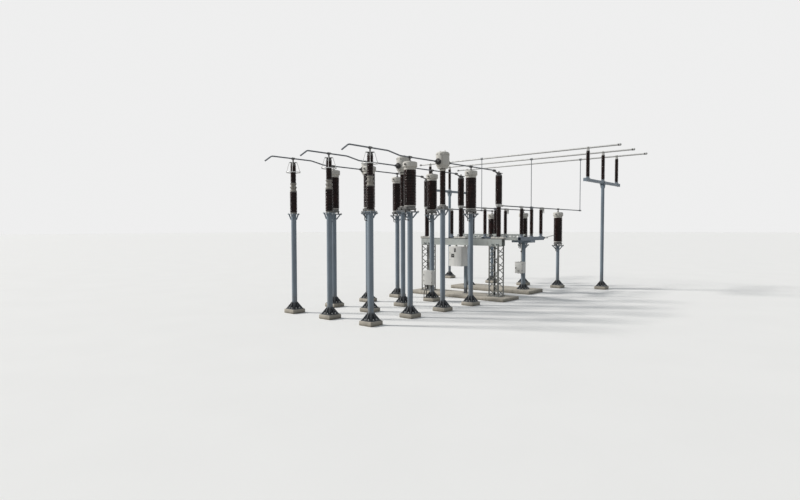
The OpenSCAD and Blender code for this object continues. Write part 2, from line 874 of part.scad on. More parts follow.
// Folded channel, open below and at its ends, with plates across it between the poles
module breaker_beam() {
    half = phase_pitch + beam_overhang;
    inner = beam_w - 2 * beam_t;
    bays = 4;
    bay = 2 * half / bays;
    color(beam_paint)
    translate([0, 0, beam_z])
    difference() {
        slab(0, [beam_w, 2 * half, beam_h]);
        for (i = [0:bays - 1]) {
            start = i == 0 ? -cut : beam_t / 2;
            end = i == bays - 1 ? bay + cut : bay - beam_t / 2;
            translate([-inner / 2, -half + i * bay + start, -cut])
                cube([inner, end - start, beam_h - beam_t + cut]);
        }
    }
}

// Plates under the pole covers with the rod that joins them
module breaker_drive_rod() {
    z = beam_z + beam_h;
    color(dark_metal)
    union() {
        each_phase(0) slab(z, [beam_w - 60, pole_cover_l - 30, drive_plate_t]);
        translate([-50, 0, z + drive_plate_t / 2]) bar_y(2 * phase_pitch, drive_rod_d / 2);
    }
}

// Crank housing under each pole, with a pale raised cover to either side of its foot
module breaker_pole_housings() {
    foot_r = support_shed_d / 2 + 15;
    half = pole_cover_l / 2;
    w = beam_w - 40;
    low = drive_plate_t;
    saddle = housing_h - 20;
    top = pole_cover_h;
    each_phase(0) translate([0, 0, beam_z + beam_h])
        color(pale_paint)
        union() {
            translate([-w / 2, 0, 0]) rotate([90, 0, 90]) linear_extrude(w)
                polygon([[-half, low], [half, low], [half, top - 24], [half - 28, top], [foot_r + 16, top],
                         [foot_r, saddle], [-foot_r, saddle], [-foot_r - 16, top], [28 - half, top],
                         [-half, top - 24]]);
            disc(saddle - cut, housing_h - saddle + cut, 2 * foot_r);
        }
}

module breaker_support_insulators() {
    each_phase(0) translate([0, 0, support_z])
        porcelain(support_porcelain_h, support_shed_d - 2 * shed_depth, support_shed_d);
}

// Flange between the porcelains, with the lower terminal's arm
module breaker_mid_terminals() {
    r = interrupter_shed_d / 2 - 8;
    h = mid_flange_h;
    arm_end = interrupter_shed_d / 2 + mid_arm_l;
    each_phase(0)
        color(light_alloy)
        union() {
            translate([0, 0, mid_z]) rotate_extrude()
                polygon([[0, 0], [r - 22, 0], [r - 22, 14], [r - 4, 24], [r - 4, h / 2], [r, h / 2 + 4],
                         [r, h], [0, h]]);
            translate([arm_end - clamp_l / 2, 0, lower_level]) conductor_clamp();
            translate([0, -25, lower_level - 12]) cube([arm_end - clamp_l, 50, 24]);
        }
}

module breaker_interrupters() {
    each_phase(0) translate([0, 0, interrupter_z])
        porcelain(interrupter_h, interrupter_shed_d - 2.4 * shed_depth, interrupter_shed_d);
}

// Dark top cap with an arm that rises to the upper conductor's end
module breaker_top_terminals() {
    r = interrupter_shed_d / 2 - 10;
    arm_t = 16;
    rise = top_pad_rise - clamp_r + neck_sink;
    each_phase(0)
        color(dark_metal)
        union() {
            translate([0, 0, top_z]) rotate_extrude()
                polygon([[0, 0], [r, 0], [r, 22], [r - 16, 34], [r - 34, 40], [r - 34, top_cap_h - 24],
                         [r - 12, top_cap_h - 18], [r - 12, top_cap_h], [26, top_cap_h],
                         [26, top_cap_h + 34], [0, top_cap_h + 34]]);
            translate([0, 0, top_z + top_cap_h])
                rib([[90, -arm_t], [90, 0], [-80, 0], [-top_arm_l + 60, rise], [-top_arm_l - 40, rise],
                     [-top_arm_l - 40, rise - arm_t], [-top_arm_l + 64, rise - arm_t], [-84, -arm_t]], 70);
            translate([-top_arm_l, 0, upper_level]) conductor_clamp(80);
        }
}

module breaker_cabinet() {
    color(cabinet_paint)
    union() {
        translate([cabinet_x, -cabinet_w / 2, cabinet_z]) {
            lipped_box([cabinet_d, cabinet_w, cabinet_h]);
            hinge_lugs(cabinet_h);
            translate([0, -12, cabinet_h]) cube([cabinet_d, cabinet_w + 24, 8]);
        }
        for (y = [-cabinet_w / 2 + 60, cabinet_w / 2 - 120])
            translate([-beam_w / 2, y, cabinet_z + cabinet_h]) cube([120, 60, cabinet_hang]);
    }
}

// Door with two recessed windows, an upright one above a square one
module breaker_cabinet_door() {
    upright_w = 80;
    upright_drop = 185;
    square_w = 130;
    square_drop = 373;
    recess = 8;
    x = -fit_gap - door_t;
    color(cabinet_paint)
    translate([cabinet_x, -cabinet_w / 2, cabinet_z])
    difference() {
        hinged_door(cabinet_w, cabinet_h, [0.35 * cabinet_h, 0.7 * cabinet_h]);
        translate([x - cut, 0.51 * cabinet_w - upright_w / 2, cabinet_h - upright_drop])
            cube([recess + cut, upright_w, square_w]);
        translate([x - cut, 0.68 * cabinet_w - square_w / 2, cabinet_h - square_drop])
            cube([recess + cut, square_w, square_w]);
    }
}

// Cable duct from the plinth up to the cabinet's back
module breaker_cabinet_leg() {
    w = 90;
    top = cabinet_z + 0.6 * cabinet_h;
    color(steel_paint)
    translate([cabinet_x + cabinet_d + w / 2, -170, 0])
    union() {
        slab(breaker_plinth_h, [170, 170, 12]);
        slab(breaker_plinth_h, [w, w, top - breaker_plinth_h]);
    }
}

// Columns with the short head beams that carry the outer pole frames and the cross beams
module isolator_columns() {
    z1 = frame_z - isolator_head_h;
    for (side = [-1, 1])
        translate([isolator_x, side * isolator_column_y, 0]) {
            column(isolator_plinth_h, z1, isolator_column_d, isolator_head_w - 2 * shaft_room);
            color(steel_paint) slab(z1, [isolator_head_w, 2 * isolator_head_reach, isolator_head_h]);
        }
}

// Punched channels whose ends slant in towards their undersides, between the pole frames,
// with a cleat at each end that meets the frame
module isolator_cross_beams() {
    l = phase_pitch - frame_w;
    h = cross_beam_h;
    slant = 170;
    hole_n = 8;
    hole_d = 75;
    hole_z = 0.56 * h;
    step = (l - 2 * slant) / (hole_n - 1);
    cleat_h = 50;
    cleat_z = frame_h - 15 - cleat_h;
    cleat_l = slant * (1 - cleat_z / h) + 20;
    color(beam_paint)
    for (side = [0, 1]) mirror([0, side, 0])
        translate([isolator_x - cross_beam_reach, frame_w / 2, frame_z])
            union() {
                difference() {
                    rotate([90, 0, 90]) linear_extrude(cross_beam_w)
                        polygon([[slant, 0], [l - slant, 0], [l, h], [0, h]]);
                    translate([frame_t, -cut, frame_t]) cube([cross_beam_w, l + 2 * cut, h - 2 * frame_t]);
                    for (i = [0:hole_n - 1])
                        translate([-cut, slant + i * step, hole_z]) rotate([0, 90, 0])
                            cylinder(h = frame_t + 2 * cut, d = hole_d);
                }
                for (y = [0, l - cleat_l])
                    translate([frame_t - cut, y, cleat_z]) cube([frame_t + cut, cleat_l, cleat_h]);
            }
}

// Hollow frames with the outer posts' pedestals, the centre bearing and the earthing shaft's cheeks
module isolator_pole_frames() {
    cheek_r = 35;
    each_phase(isolator_x)
        color([0.50, 0.55, 0.62])
        difference() {
            union() {
                slab(frame_z, [2 * frame_half, frame_w, frame_h]);
                for (x = [-post_pitch, post_pitch]) translate([x, 0, frame_top]) rotate_extrude()
                    polygon([[0, 0], [80, 0], [80, 14], [48, 24], [48, post_base_h - 24],
                             [68, post_base_h - 14], [68, post_base_h], [0, post_base_h]]);
                disc(frame_top, bearing_h, 140);
                for (y = [-frame_w / 2, frame_w / 2 - frame_t])
                    translate([frame_half - 60, y, earth_z - cheek_r])
                        cube([60 + earth_x - frame_half + cheek_r, frame_t, 2 * cheek_r]);
            }
            translate([-frame_half - cut, -frame_w / 2 + frame_t, frame_z + frame_t])
                cube([2 * (frame_half + cut), frame_w - 2 * frame_t, frame_h - 2 * frame_t]);
            translate([0, 0, frame_top - frame_t - cut])
                cylinder(h = frame_t + bearing_h + 2 * cut, d = spindle_d + 2 * fit_gap);
            translate([earth_x, 0, earth_z]) bar_y(frame_w + 2 * cut, earth_shaft_d / 2 + fit_gap);
        }
}

module isolator_fixed_insulators() {
    each_phase(isolator_x)
        for (x = [-post_pitch, post_pitch])
            translate([x, 0, post_z]) porcelain(post_porcelain_h, post_shed_d - 2 * shed_depth, post_shed_d);
}

// Fixed contact on an outer post: two fingers with a slot open to both sides, and a socket
// for the conductor behind them. The post's axis is the origin, the blade comes from -X.
module jaw() {
    back = 40;
    wall = 10;
    color(light_alloy)
    union() {
        disc(-jaw_drop - post_cap_h, post_cap_h, post_cap_d);
        slab(-jaw_drop, [70, finger_w, jaw_drop - jaw_slot / 2]);
        for (z = [-jaw_slot / 2 - finger_t, jaw_slot / 2])
            translate([-finger_reach, -finger_w / 2, z]) cube([finger_reach + back, finger_w, finger_t]);
        translate([jaw_back, -finger_w / 2, -jaw_slot / 2]) cube([back - jaw_back, finger_w, jaw_slot]);
        difference() {
            translate([back - cut, 0, 0]) rotate([0, 90, 0]) cylinder(h = clamp_l + cut, r = clamp_r);
            translate([back + wall, 0, 0]) rotate([0, 90, 0]) cylinder(h = clamp_l, r = bore_r);
        }
    }
}

// Contact that hangs from the conductor over the earthing shaft and takes the blade's end
module earth_contact() {
    w = 50;
    cheek = 8;
    half = earth_blade_d / 2 + free_gap;
    tip_z = earth_z + earth_blade_l - lower_level;
    top = -clamp_r + cheek;
    color(light_alloy)
    difference() {
        union() {
            bar_x(w, clamp_r);
            slab(tip_z + free_gap, [w, 2 * (half + cheek), top - tip_z - free_gap]);
            for (y = [-half - cheek, half])
                translate([-w / 2, y, tip_z - 60]) cube([w, cheek, 60 + 2 * free_gap]);
        }
        bar_x(w + 2 * cut, bore_r);
    }
}

module isolator_jaws() {
    each_phase(isolator_x) {
        translate([post_pitch, 0, lower_level]) jaw();
        translate([-post_pitch, 0, lower_level]) mirror([1, 0, 0]) jaw();
        translate([earth_x, 0, lower_level]) earth_contact();
    }
}

// Turning foot of a centre post, with its spindle, its lever and the lever's pin
module turntable() {
    color(dark_metal)
    translate([isolator_x, 0, 0])
    union() {
        disc(table_z, post_z - table_z, 100);
        disc(post_z - 20, 20, post_shed_d - 14);
        disc(frame_top - 60, 60 + table_z - frame_top + cut, spindle_d);
        rotate([0, 0, lever_angle]) {
            translate([0, -22, table_z]) cube([lever_r, 44, lever_t]);
            translate([lever_r, 0, 0]) {
                disc(table_z, lever_t, eye_d + 8);
                disc(table_z, lever_t + eye_h + 4, pin_d);
            }
        }
    }
}

// Centre-turning double-break blade on its post's cap
module blade() {
    color(light_alloy)
    translate([isolator_x, 0, lower_level])
    union() {
        disc(-jaw_drop - post_cap_h, post_cap_h, post_cap_d);
        slab(-jaw_drop, [120, 90, jaw_drop]);
        slab(-jaw_drop + 4, [150, 66, 54]);
        bar_x(2 * (blade_tip - contact_l + 20), blade_d / 2);
        for (side = [-1, 1])
            translate([side * (blade_tip - contact_l / 2), 0, 0])
                cube([contact_l, contact_w, contact_t], center = true);
    }
}

module turning_insulator() {
    translate([isolator_x, 0, post_z])
        porcelain(post_porcelain_h, post_shed_d - 2 * shed_depth, post_shed_d);
}

// Rod with an eye over each lever's pin
module gang_rod() {
    eye_z = table_z + lever_t + turn_gap;
    color([0.60, 0.60, 0.58])
    translate([isolator_x + lever_r * cos(lever_angle), lever_r * sin(lever_angle), eye_z])
    difference() {
        union() {
            translate([0, 0, eye_h / 2]) bar_y(2 * phase_pitch, rod_d / 2);
            for (y = phases) translate([0, y, 0]) cylinder(h = eye_h, d = eye_d);
        }
        for (y = phases) translate([0, y, -cut]) cylinder(h = eye_h + 2 * cut, d = pin_d + 2 * fit_gap);
    }
}

// Common shaft with one blade a phase, lying out flat in its open position
module earth_switch() {
    overhang = 200;
    paddle_l = 80;
    color(light_alloy)
    translate([isolator_x + earth_x, 0, earth_z])
    union() {
        bar_y(2 * (phase_pitch + overhang), earth_shaft_d / 2);
        for (y = phases) translate([0, y, 0]) rotate([0, -earth_tilt, 0]) {
            rotate([0, 90, 0]) cylinder(h = earth_blade_l - 60, d = earth_blade_d);
            translate([earth_blade_l - paddle_l, -earth_blade_d / 2, -5])
                cube([paddle_l, earth_blade_d, 10]);
            bar_y(70, 32);
        }
    }
}

// Drive box on the near isolator column, with its shaft up to the head beam
module isolator_drive_box() {
    w = 300;
    d = 250;
    gap = 20;
    reach = isolator_column_d / 2 + gap;
    shaft_d = shaft_room - 6;
    head_z = frame_z - isolator_head_h;
    color(cabinet_paint)
    translate([isolator_x, -isolator_column_y, 0])
    union() {
        translate([-d - reach, -w / 2, drive_box_z]) cube([d, w, drive_box_h]);
        translate([-d - reach - 14, -w / 2 - 14, drive_box_z + drive_box_h]) cube([d + 14, w + 28, 8]);
        column_bands(reach, isolator_column_d, [drive_box_z + 70, drive_box_z + drive_box_h - 100]);
        translate([(shaft_room - isolator_head_w) / 2, 0, drive_box_z + drive_box_h])
            cylinder(h = head_z - drive_box_z - drive_box_h, d = shaft_d);
    }
}

// T-shaped masts: column, crossbar with end plates, and a pedestal under each post
module busbar_masts() {
    half = tube_pitch + crossbar_reach;
    for (y = [near_mast_y, far_mast_y])
        translate([mast_x, y, 0]) {
            column(plinth_h, crossbar_z, slim_column_d, mast_head_w);
            color(steel_paint)
            union() {
                slab(crossbar_z, [2 * half, crossbar_w, crossbar_h]);
                for (x = [-half, half])
                    translate([x, 0, 0]) slab(crossbar_z - 10, [12, crossbar_w + 20, crossbar_h + 20]);
                for (x = tube_offsets) translate([x, 0, crossbar_z + crossbar_h]) {
                    slab(0, [bus_foot_d + 30, bus_foot_d, 14]);
                    disc(0, bus_foot_h, bus_foot_d - 30);
                    disc(bus_foot_h - 14, 14, bus_foot_d);
                }
            }
        }
}

// Stands the children under each busbar tube at each mast
module each_bus_post() {
    for (y = [near_mast_y, far_mast_y], x = tube_offsets)
        translate([mast_x + x, y, 0]) children();
}

module busbar_insulators() {
    each_bus_post() translate([0, 0, bus_porcelain_z])
        porcelain(bus_porcelain_h, post_shed_d - 2 * shed_depth, post_shed_d);
}

module busbar_clamps() {
    each_bus_post()
        color(light_alloy)
        difference() {
            union() {
                disc(bus_porcelain_top, bus_cap_h, post_cap_d);
                slab(bus_porcelain_top, [90, 70, bus_cap_h + bus_clamp_h]);
                translate([0, 0, busbar_level]) bar_y(bus_clamp_l, bus_clamp_r);
            }
            translate([0, 0, busbar_level]) bar_y(bus_clamp_l + 2 * cut, bus_bore_r);
        }
}

// Tubes with round caps on their ends
module busbar_tubes() {
    color([0.78, 0.79, 0.80])
    for (x = tube_offsets)
        translate([mast_x + x, 0, busbar_level])
        union() {
            translate([0, tube_near_y, 0]) rotate([-90, 0, 0])
                cylinder(h = tube_far_y - tube_near_y, d = busbar_d);
            for (y = [tube_near_y, tube_far_y]) translate([0, y, 0]) sphere(d = busbar_d + 26);
        }
}

// Each dropper joins one phase to one busbar tube: the near phase to the far tube
module droppers() {
    color([0.62, 0.62, 0.62])
    for (i = [0:2])
        translate([mast_x + tube_offsets[2 - i], phases[i], 0])
            difference() {
                union() {
                    disc(lower_level, busbar_level - lower_level, dropper_d);
                    translate([0, 0, lower_level]) bar_x(clamp_l, clamp_r);
                    translate([0, 0, busbar_level]) bar_y(clamp_l, bus_clamp_r);
                }
                translate([0, 0, lower_level]) bar_x(clamp_l + 2 * cut, bore_r);
                translate([0, 0, busbar_level]) bar_y(clamp_l + 2 * cut, bus_bore_r);
            }
}

// Straight conductor from x0 to x1 at one level
module conductor(x0, x1, level) {
    translate([x0, 0, level]) rotate([0, 90, 0]) cylinder(h = x1 - x0, d = conductor_d);
}

// Tube with mitred bends through points in the XZ plane
module bent_tube(points, d, sides = 16) {
    n = len(points);
    function heading(i) = atan2(points[i + 1][1] - points[i][1], points[i + 1][0] - points[i][0]);
    function mitre(i) = i == 0 ? heading(0)
        : i == n - 1 ? heading(n - 2)
        : (heading(i - 1) + heading(i)) / 2;
    function stretch(i) = i == 0 || i == n - 1 ? 1 : 1 / cos((heading(i) - heading(i - 1)) / 2);
    rings = [for (i = [0:n - 1], k = [0:sides - 1])
        let (a = 360 * k / sides, u = d / 2 * cos(a) * stretch(i), m = mitre(i))
        [points[i][0] - u * sin(m), d / 2 * sin(a), points[i][1] + u * cos(m)]];
    faces = concat(
        [[for (k = [sides - 1:-1:0]) k]],
        [for (i = [0:n - 2], k = [0:sides - 1])
            let (a = i * sides + k, b = i * sides + (k + 1) % sides)
            [a, b, b + sides, a + sides]],
        [[for (k = [0:sides - 1]) (n - 1) * sides + k]]);
    polyhedron(points = rings, faces = faces);
}

// From the bend past the arresters, over them and down to the current transformers, then on to
// the breaker's upper terminals
module upper_conductors() {
    stub = 260;
    stub_slope = 35;
    lead_x = arrester_x - arrester_lead;
    bend_a = arrester_x + 0.43 * arrester_pitch;
    bend_b = arrester_x + 0.74 * arrester_pitch;
    color([0.62, 0.62, 0.62])
    for (y = phases) translate([0, y, 0]) {
        bent_tube([[lead_x - stub * cos(stub_slope), arrester_level - stub * sin(stub_slope)],
                   [lead_x - 40, arrester_level - 12], [lead_x + 40, arrester_level],
                   [bend_a - 40, arrester_level], [bend_a + 40, arrester_level - 10],
                   [bend_b - 40, upper_level + 10], [bend_b + 40, upper_level],
                   [ct_x - ct_reach, upper_level]], conductor_d);
        conductor(ct_x + ct_reach, -top_arm_l + 30, upper_level);
    }
}

// From the breaker's lower terminals to the isolator, and from there over the busbar voltage
// transformers to the droppers
module lower_conductors() {
    jaw_end = post_pitch + 50;
    color([0.62, 0.62, 0.62])
    for (i = [0:2]) at_phase(i) {
        conductor(interrupter_shed_d / 2 + mid_arm_l - clamp_l, isolator_x - jaw_end, lower_level);
        conductor(isolator_x + jaw_end, max(mast_x + tube_offsets[2 - i], bus_vt_x) + 70, lower_level);
    }
}

column_plinths();
breaker_plinth();
isolator_plinth();
arrester_columns();
arrester_lower_units();
arrester_mid_flanges();
arrester_upper_units();
arrester_caps();
arrester_grading_rings();
vt_columns();
vt_tanks();
vt_insulators();
vt_heads();
vt_terminals();
ct_columns();
ct_bases();
ct_insulators();
ct_heads();
ct_terminals();
junction_box();
junction_box_door();
cable_conduits();
breaker_legs();
breaker_beam();
breaker_drive_rod();
breaker_pole_housings();
breaker_support_insulators();
breaker_mid_terminals();
breaker_interrupters();
breaker_top_terminals();
breaker_cabinet();
breaker_cabinet_door();
breaker_cabinet_leg();
isolator_columns();
isolator_cross_beams();
isolator_pole_frames();
isolator_fixed_insulators();
isolator_jaws();
at_phase(0) turntable();  // turntable_1
at_phase(1) turntable();  // turntable_2
at_phase(2) turntable();  // turntable_3
at_phase(0) turning_insulator();  // turning_insulator_1
at_phase(1) turning_insulator();  // turning_insulator_2
at_phase(2) turning_insulator();  // turning_insulator_3
at_phase(0) blade();  // blade_1
at_phase(1) blade();  // blade_2
at_phase(2) blade();  // blade_3
gang_rod();
earth_switch();
isolator_drive_box();
bus_vt_columns();
busbar_masts();
busbar_insulators();
busbar_clamps();
busbar_tubes();
droppers();
upper_conductors();
lower_conductors();
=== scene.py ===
"""Looks of an outdoor high-voltage switchgear bay: finishes, fittings, floor, light and camera.

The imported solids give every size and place. Lengths are in metres, +X runs along the bay from the
arresters to the busbars, +Y across the phases and +Z up.
"""

import json
import logging
import math
from dataclasses import dataclass
from enum import Enum
from typing import Iterable, Sequence

import bmesh
import bpy
from mathutils import Matrix, Vector, noise

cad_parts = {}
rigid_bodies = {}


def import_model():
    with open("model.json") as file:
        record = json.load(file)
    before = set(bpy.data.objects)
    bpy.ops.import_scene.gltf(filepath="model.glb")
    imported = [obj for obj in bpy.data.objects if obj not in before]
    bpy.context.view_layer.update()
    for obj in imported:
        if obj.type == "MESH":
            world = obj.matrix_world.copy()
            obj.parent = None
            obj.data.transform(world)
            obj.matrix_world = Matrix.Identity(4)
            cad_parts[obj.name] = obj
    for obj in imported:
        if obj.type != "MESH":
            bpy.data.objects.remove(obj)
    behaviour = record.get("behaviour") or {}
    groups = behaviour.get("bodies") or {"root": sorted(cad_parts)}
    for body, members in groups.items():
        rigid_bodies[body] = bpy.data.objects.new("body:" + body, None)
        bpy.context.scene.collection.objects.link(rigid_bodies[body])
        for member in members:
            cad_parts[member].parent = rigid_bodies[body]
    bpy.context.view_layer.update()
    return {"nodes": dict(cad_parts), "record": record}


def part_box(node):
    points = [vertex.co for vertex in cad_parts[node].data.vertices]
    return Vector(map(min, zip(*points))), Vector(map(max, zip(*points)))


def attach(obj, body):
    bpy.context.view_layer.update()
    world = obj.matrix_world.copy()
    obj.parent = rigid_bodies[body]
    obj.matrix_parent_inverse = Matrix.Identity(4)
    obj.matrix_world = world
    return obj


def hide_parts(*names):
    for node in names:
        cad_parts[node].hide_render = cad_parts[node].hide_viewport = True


LOG = logging.getLogger("bay")

Colour = tuple[float, float, float]
Point = tuple[float, float, float]
Outline = Sequence[tuple[float, float]]
Numbers = tuple[float, ...]
Socket = bpy.types.NodeSocket


class Slot(Enum):
    """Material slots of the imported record."""

    CONCRETE = "concrete"
    PORCELAIN = "brown_porcelain"
    COLUMN = "column_paint"
    PALE_CASTING = "pale_casting"
    TANK = "tank_paint"
    RING = "ring_aluminium"
    DARK_TERMINAL = "dark_terminal"
    CONDUIT = "dark_conduit"
    CABINET = "cabinet_paint"
    GALVANISED = "galvanised_steel"
    BEAM = "beam_paint"
    FRAME = "frame_paint"
    FITTING = "fitting_metal"
    DARK_CASTING = "dark_casting"
    CONDUCTOR = "conductor_aluminium"
    BUSBAR = "busbar_aluminium"


class Body(Enum):
    """Bodies that a piece can ride on."""

    BAY = "bay"
    POLE_1 = "pole_1"
    POLE_2 = "pole_2"
    POLE_3 = "pole_3"
    GANG_LINK = "gang_link"
    EARTHING = "earthing"
    CABINET_DOOR = "cabinet_door"
    BOX_DOOR = "box_door"


POLES = (Body.POLE_1, Body.POLE_2, Body.POLE_3)


class Axis(Enum):
    """Directions in which a turned form's own axis can point."""

    X = Vector((1.0, 0.0, 0.0))
    Y = Vector((0.0, 1.0, 0.0))
    Z = Vector((0.0, 0.0, 1.0))
    BACK = Vector((-1.0, 0.0, 0.0))
    NEAR = Vector((0.0, -1.0, 0.0))
    DOWN = Vector((0.0, 0.0, -1.0))


def at(x: float = 0.0, y: float = 0.0, z: float = 0.0, axis: Axis = Axis.Z, turn: float = 0.0) -> Matrix:
    """Place of a form.

    Args:
        x: Place along the bay.
        y: Place across the phases.
        z: Height.
        axis: Direction in which the form's own Z points.
        turn: Turn round the form's own Z, in degrees.

    Returns:
        The matrix that takes the form there.
    """
    aim = Vector((0.0, 0.0, 1.0)).rotation_difference(axis.value).to_matrix().to_4x4()
    return Matrix.Translation((x, y, z)) @ aim @ Matrix.Rotation(math.radians(turn), 4, "Z")


def darker(colour: Colour, share: float) -> Colour:
    """Scales a colour by a share."""
    return tuple(share * part for part in colour)


class Graph:
    """Nodes of one material or world, wired by short calls, with the colour that builds up in layers."""

    def __init__(self, owner: bpy.types.Material | bpy.types.World, colour: Colour = (1.0, 1.0, 1.0)) -> None:
        """Opens a node tree and starts from a colour.

        Args:
            owner: Material or world whose tree it is.
            colour: Colour under every layer.
        """
        owner.use_nodes = True
        self.owner = owner
        self.tree = owner.node_tree
        self.colour: object = colour

    def plug(self, socket: Socket, value: object) -> None:
        """Links or sets a socket.

        Args:
            socket: Socket that takes the value.
            value: Another socket, a number, a vector, or a colour of three numbers.
        """
        if isinstance(value, Socket):
            self.tree.links.new(value, socket)
        elif socket.type == "RGBA":
            socket.default_value = (*value, 1.0)
        else:
            socket.default_value = value

    def node(self, kind: str, output: str | int, inputs: dict | None = None, **settings: str) -> Socket:
        """Adds a node.

        Args:
            kind: Kind of node.
            output: Name or number of the output that is wanted.
            inputs: What goes into its sockets, by name or number.
            settings: Properties of the node.

        Returns:
            The output.
        """
        node = self.tree.nodes.new(f"ShaderNode{kind}")
        for name, setting in settings.items():
            setattr(node, name, setting)
        for key, value in (inputs or {}).items():
            self.plug(node.inputs[key], value)
        return node.outputs[output]

    def noise(self, scale: float, detail: float = 4.0, stretch: Point = (1.0, 1.0, 1.0)) -> Socket:
        """Cloudy noise, by its waves in a metre, its octaves and a factor on each axis."""
        place = self.node("Mapping", "Vector", {"Scale": stretch, "Vector": self.node("TexCoord", "Object")})
        return self.node("TexNoise", "Fac", {"Scale": scale, "Detail": detail, "Vector": place})

    def cells(self, scale: float, output: str = "Distance") -> Socket:
        """Cells on object coordinates, by their number in a metre and the output that is wanted."""
        return self.node("TexVoronoi", output, {"Scale": scale, "Vector": self.node("TexCoord", "Object")})

    def shades(self, scale: float) -> Socket:
        """Cells of one shade each."""
        return self.node("SeparateColor", "Red", {"Color": self.cells(scale, "Color")})

    def upward(self, output: str) -> Socket:
        """Z part of the coordinates called Object or Normal."""
        return self.node("SeparateXYZ", "Z", {"Vector": self.node("TexCoord", output)})

    def band(self, value: Socket, low: float, high: float, start: float = 0.0, end: float = 1.0) -> Socket:
        """Smooth step.

        Args:
            value: What is read.
            low: Value at which the step starts.
            high: Value at which it ends.
            start: Result up to low.
            end: Result from high on.

        Returns:
            The result.
        """
        inputs = {"Value": value, "From Min": low, "From Max": high, "To Min": start, "To Max": end}
        return self.node("MapRange", "Result", inputs, interpolation_type="SMOOTHSTEP")

    def cloud(self, scale: float, detail: float, low: float, high: float, start: float = 0.0,
              end: float = 1.0, stretch: Point = (1.0, 1.0, 1.0)) -> Socket:
        """Noise through a smooth step, with the values that noise and band take."""
        return self.band(self.noise(scale, detail, stretch), low, high, start, end)

    def times(self, first: Socket, second: object) -> Socket:
        """Product of a socket with another one or with a number."""
        return self.node("Math", 0, {0: first, 1: second}, operation="MULTIPLY")

    def layer(self, colour: object, share: Socket) -> None:
        """Lays another colour over the present one by a share."""
        self.colour = self.node("Mix", 2, {0: share, 6: self.colour, 7: colour}, data_type="RGBA")

    def bump(self, height: Socket, distance: float, strength: float) -> None:
        """Gives the shader a relief, by its height from 0 to 1, its depth and the share that shows."""
        relief = self.node("Bump", "Normal", {"Distance": distance, "Strength": strength, "Height": height})
        self.plug(self.tree.nodes["Principled BSDF"].inputs["Normal"], relief)

    def finish(self, roughness: object, **constants: float) -> bpy.types.Material:
        """Sets the shader.

        Args:
            roughness: Roughness.
            constants: Other sockets, with underscores for spaces.

        Returns:
            The material.
        """
        sockets = {"Base Color": self.colour, "Roughness": roughness, **constants}
        for name, value in sockets.items():
            self.plug(self.tree.nodes["Principled BSDF"].inputs[name.replace("_", " ")], value)
        return self.owner

    def seen(self) -> Socket:
        """Finds which rays show a surface to the camera.

        Returns:
            1 where it is seen by the camera, in gloss or through glass, 0 where it lights others.
        """
        found = self.node("LightPath", "Is Camera Ray")
        for name in ("Is Glossy Ray", "Is Transmission Ray"):
            found = self.node("Math", 0, {0: found, 1: self.node("LightPath", name)}, operation="MAXIMUM")
        return found


DUST = (0.36, 0.33, 0.28)
SPLASHES = (0.16, 0.14, 0.115)
# Black of the columns' foot: partly a bitumen layer, partly painted shade between the gussets.
BLACK_COAT_AND_SHADE = (0.045, 0.046, 0.050)
SHED_DUST = (0.11, 0.080, 0.065)
RUNS = (0.21, 0.19, 0.155)
DAMP = (0.17, 0.155, 0.12)
BLOOM = (0.52, 0.54, 0.51)
STAINS = (0.13, 0.095, 0.075)
PANE_DUST = (0.30, 0.30, 0.29)
HOSE_DUST = (0.15, 0.145, 0.13)
@dataclass(frozen=True)
class Finish:
    """A finish, with the slot that its pieces fill."""

    name: str
    slot: Slot
    colour: Colour

    def graph(self, share: float = 1.0) -> Graph:
        """Starts the finish's material from a share of its colour."""
        return Graph(bpy.data.materials.new(self.name), darker(self.colour, share))

    def material(self) -> bpy.types.Material:
        """Makes the finish's material."""
        raise NotImplementedError


@dataclass(frozen=True)
class Paint(Finish):
    """Weathered paint on steel, sheet metal or castings."""

    # Colour of the dark runs; on the tank they are partly dirt and partly painted shade.
    grime_and_shade: Colour = (0.13, 0.115, 0.10)
    roughness: float = 0.42
    streaks: float = 0.30
    dust: float = 0.25
    # Height up to which the foot is black, partly a bitumen layer and partly painted shade; 0 for none.
    tar_and_shade: float = 0.0

    def material(self) -> bpy.types.Material:
        """Makes paint with clouds, dark runs of dirt (on the tank partly painted shade), specks, dust on top
        and a black foot, partly a bitumen layer and partly painted shade.

        Returns:
            The material.
        """
        graph = self.graph(0.90)
        graph.layer(self.colour, graph.cloud(1.7, 5.0, 0.35, 0.70))
        # Dark runs down the paint; on the tank, where they are strong, they are partly painted shade.
        graph.layer(self.grime_and_shade, graph.cloud(16.0, 6.0, 0.52, 0.78, 0.0, self.streaks, (1.0, 1.0, 0.09)))
        graph.layer(darker(self.colour, 0.55), graph.cloud(95.0, 2.0, 0.66, 0.74, 0.0, 0.35))
        up = graph.band(graph.upward("Normal"), 0.35, 0.95)
        settled = graph.times(up, graph.cloud(7.0, 5.0, 0.3, 0.7, 0.4 * self.dust, self.dust))
        graph.layer(DUST, settled)
        if self.tar_and_shade > 0.0:
            height = graph.upward("Object")
            splashed = graph.band(height, 2.2 * self.tar_and_shade, 0.9 * self.tar_and_shade)
            dirt = graph.cloud(22.0, 5.0, 0.35, 0.65, 0.1, 0.5, (1.0, 1.0, 0.6))
            graph.layer(SPLASHES, graph.times(splashed, dirt))
            # Black foot: partly a bitumen layer on the base plates and gussets, partly painted shade between
            # the gussets.
            coat_and_shade = graph.band(height, self.tar_and_shade, 0.80 * self.tar_and_shade)
            graph.layer(BLACK_COAT_AND_SHADE, graph.times(coat_and_shade, graph.cloud(30.0, 6.0, 0.30, 0.60, 0.55, 0.95)))
        graph.bump(graph.noise(140.0, 3.0), 0.0004, 0.35)
        return graph.finish(graph.cloud(9.0, 5.0, 0.3, 0.7, self.roughness, self.roughness + 0.16))


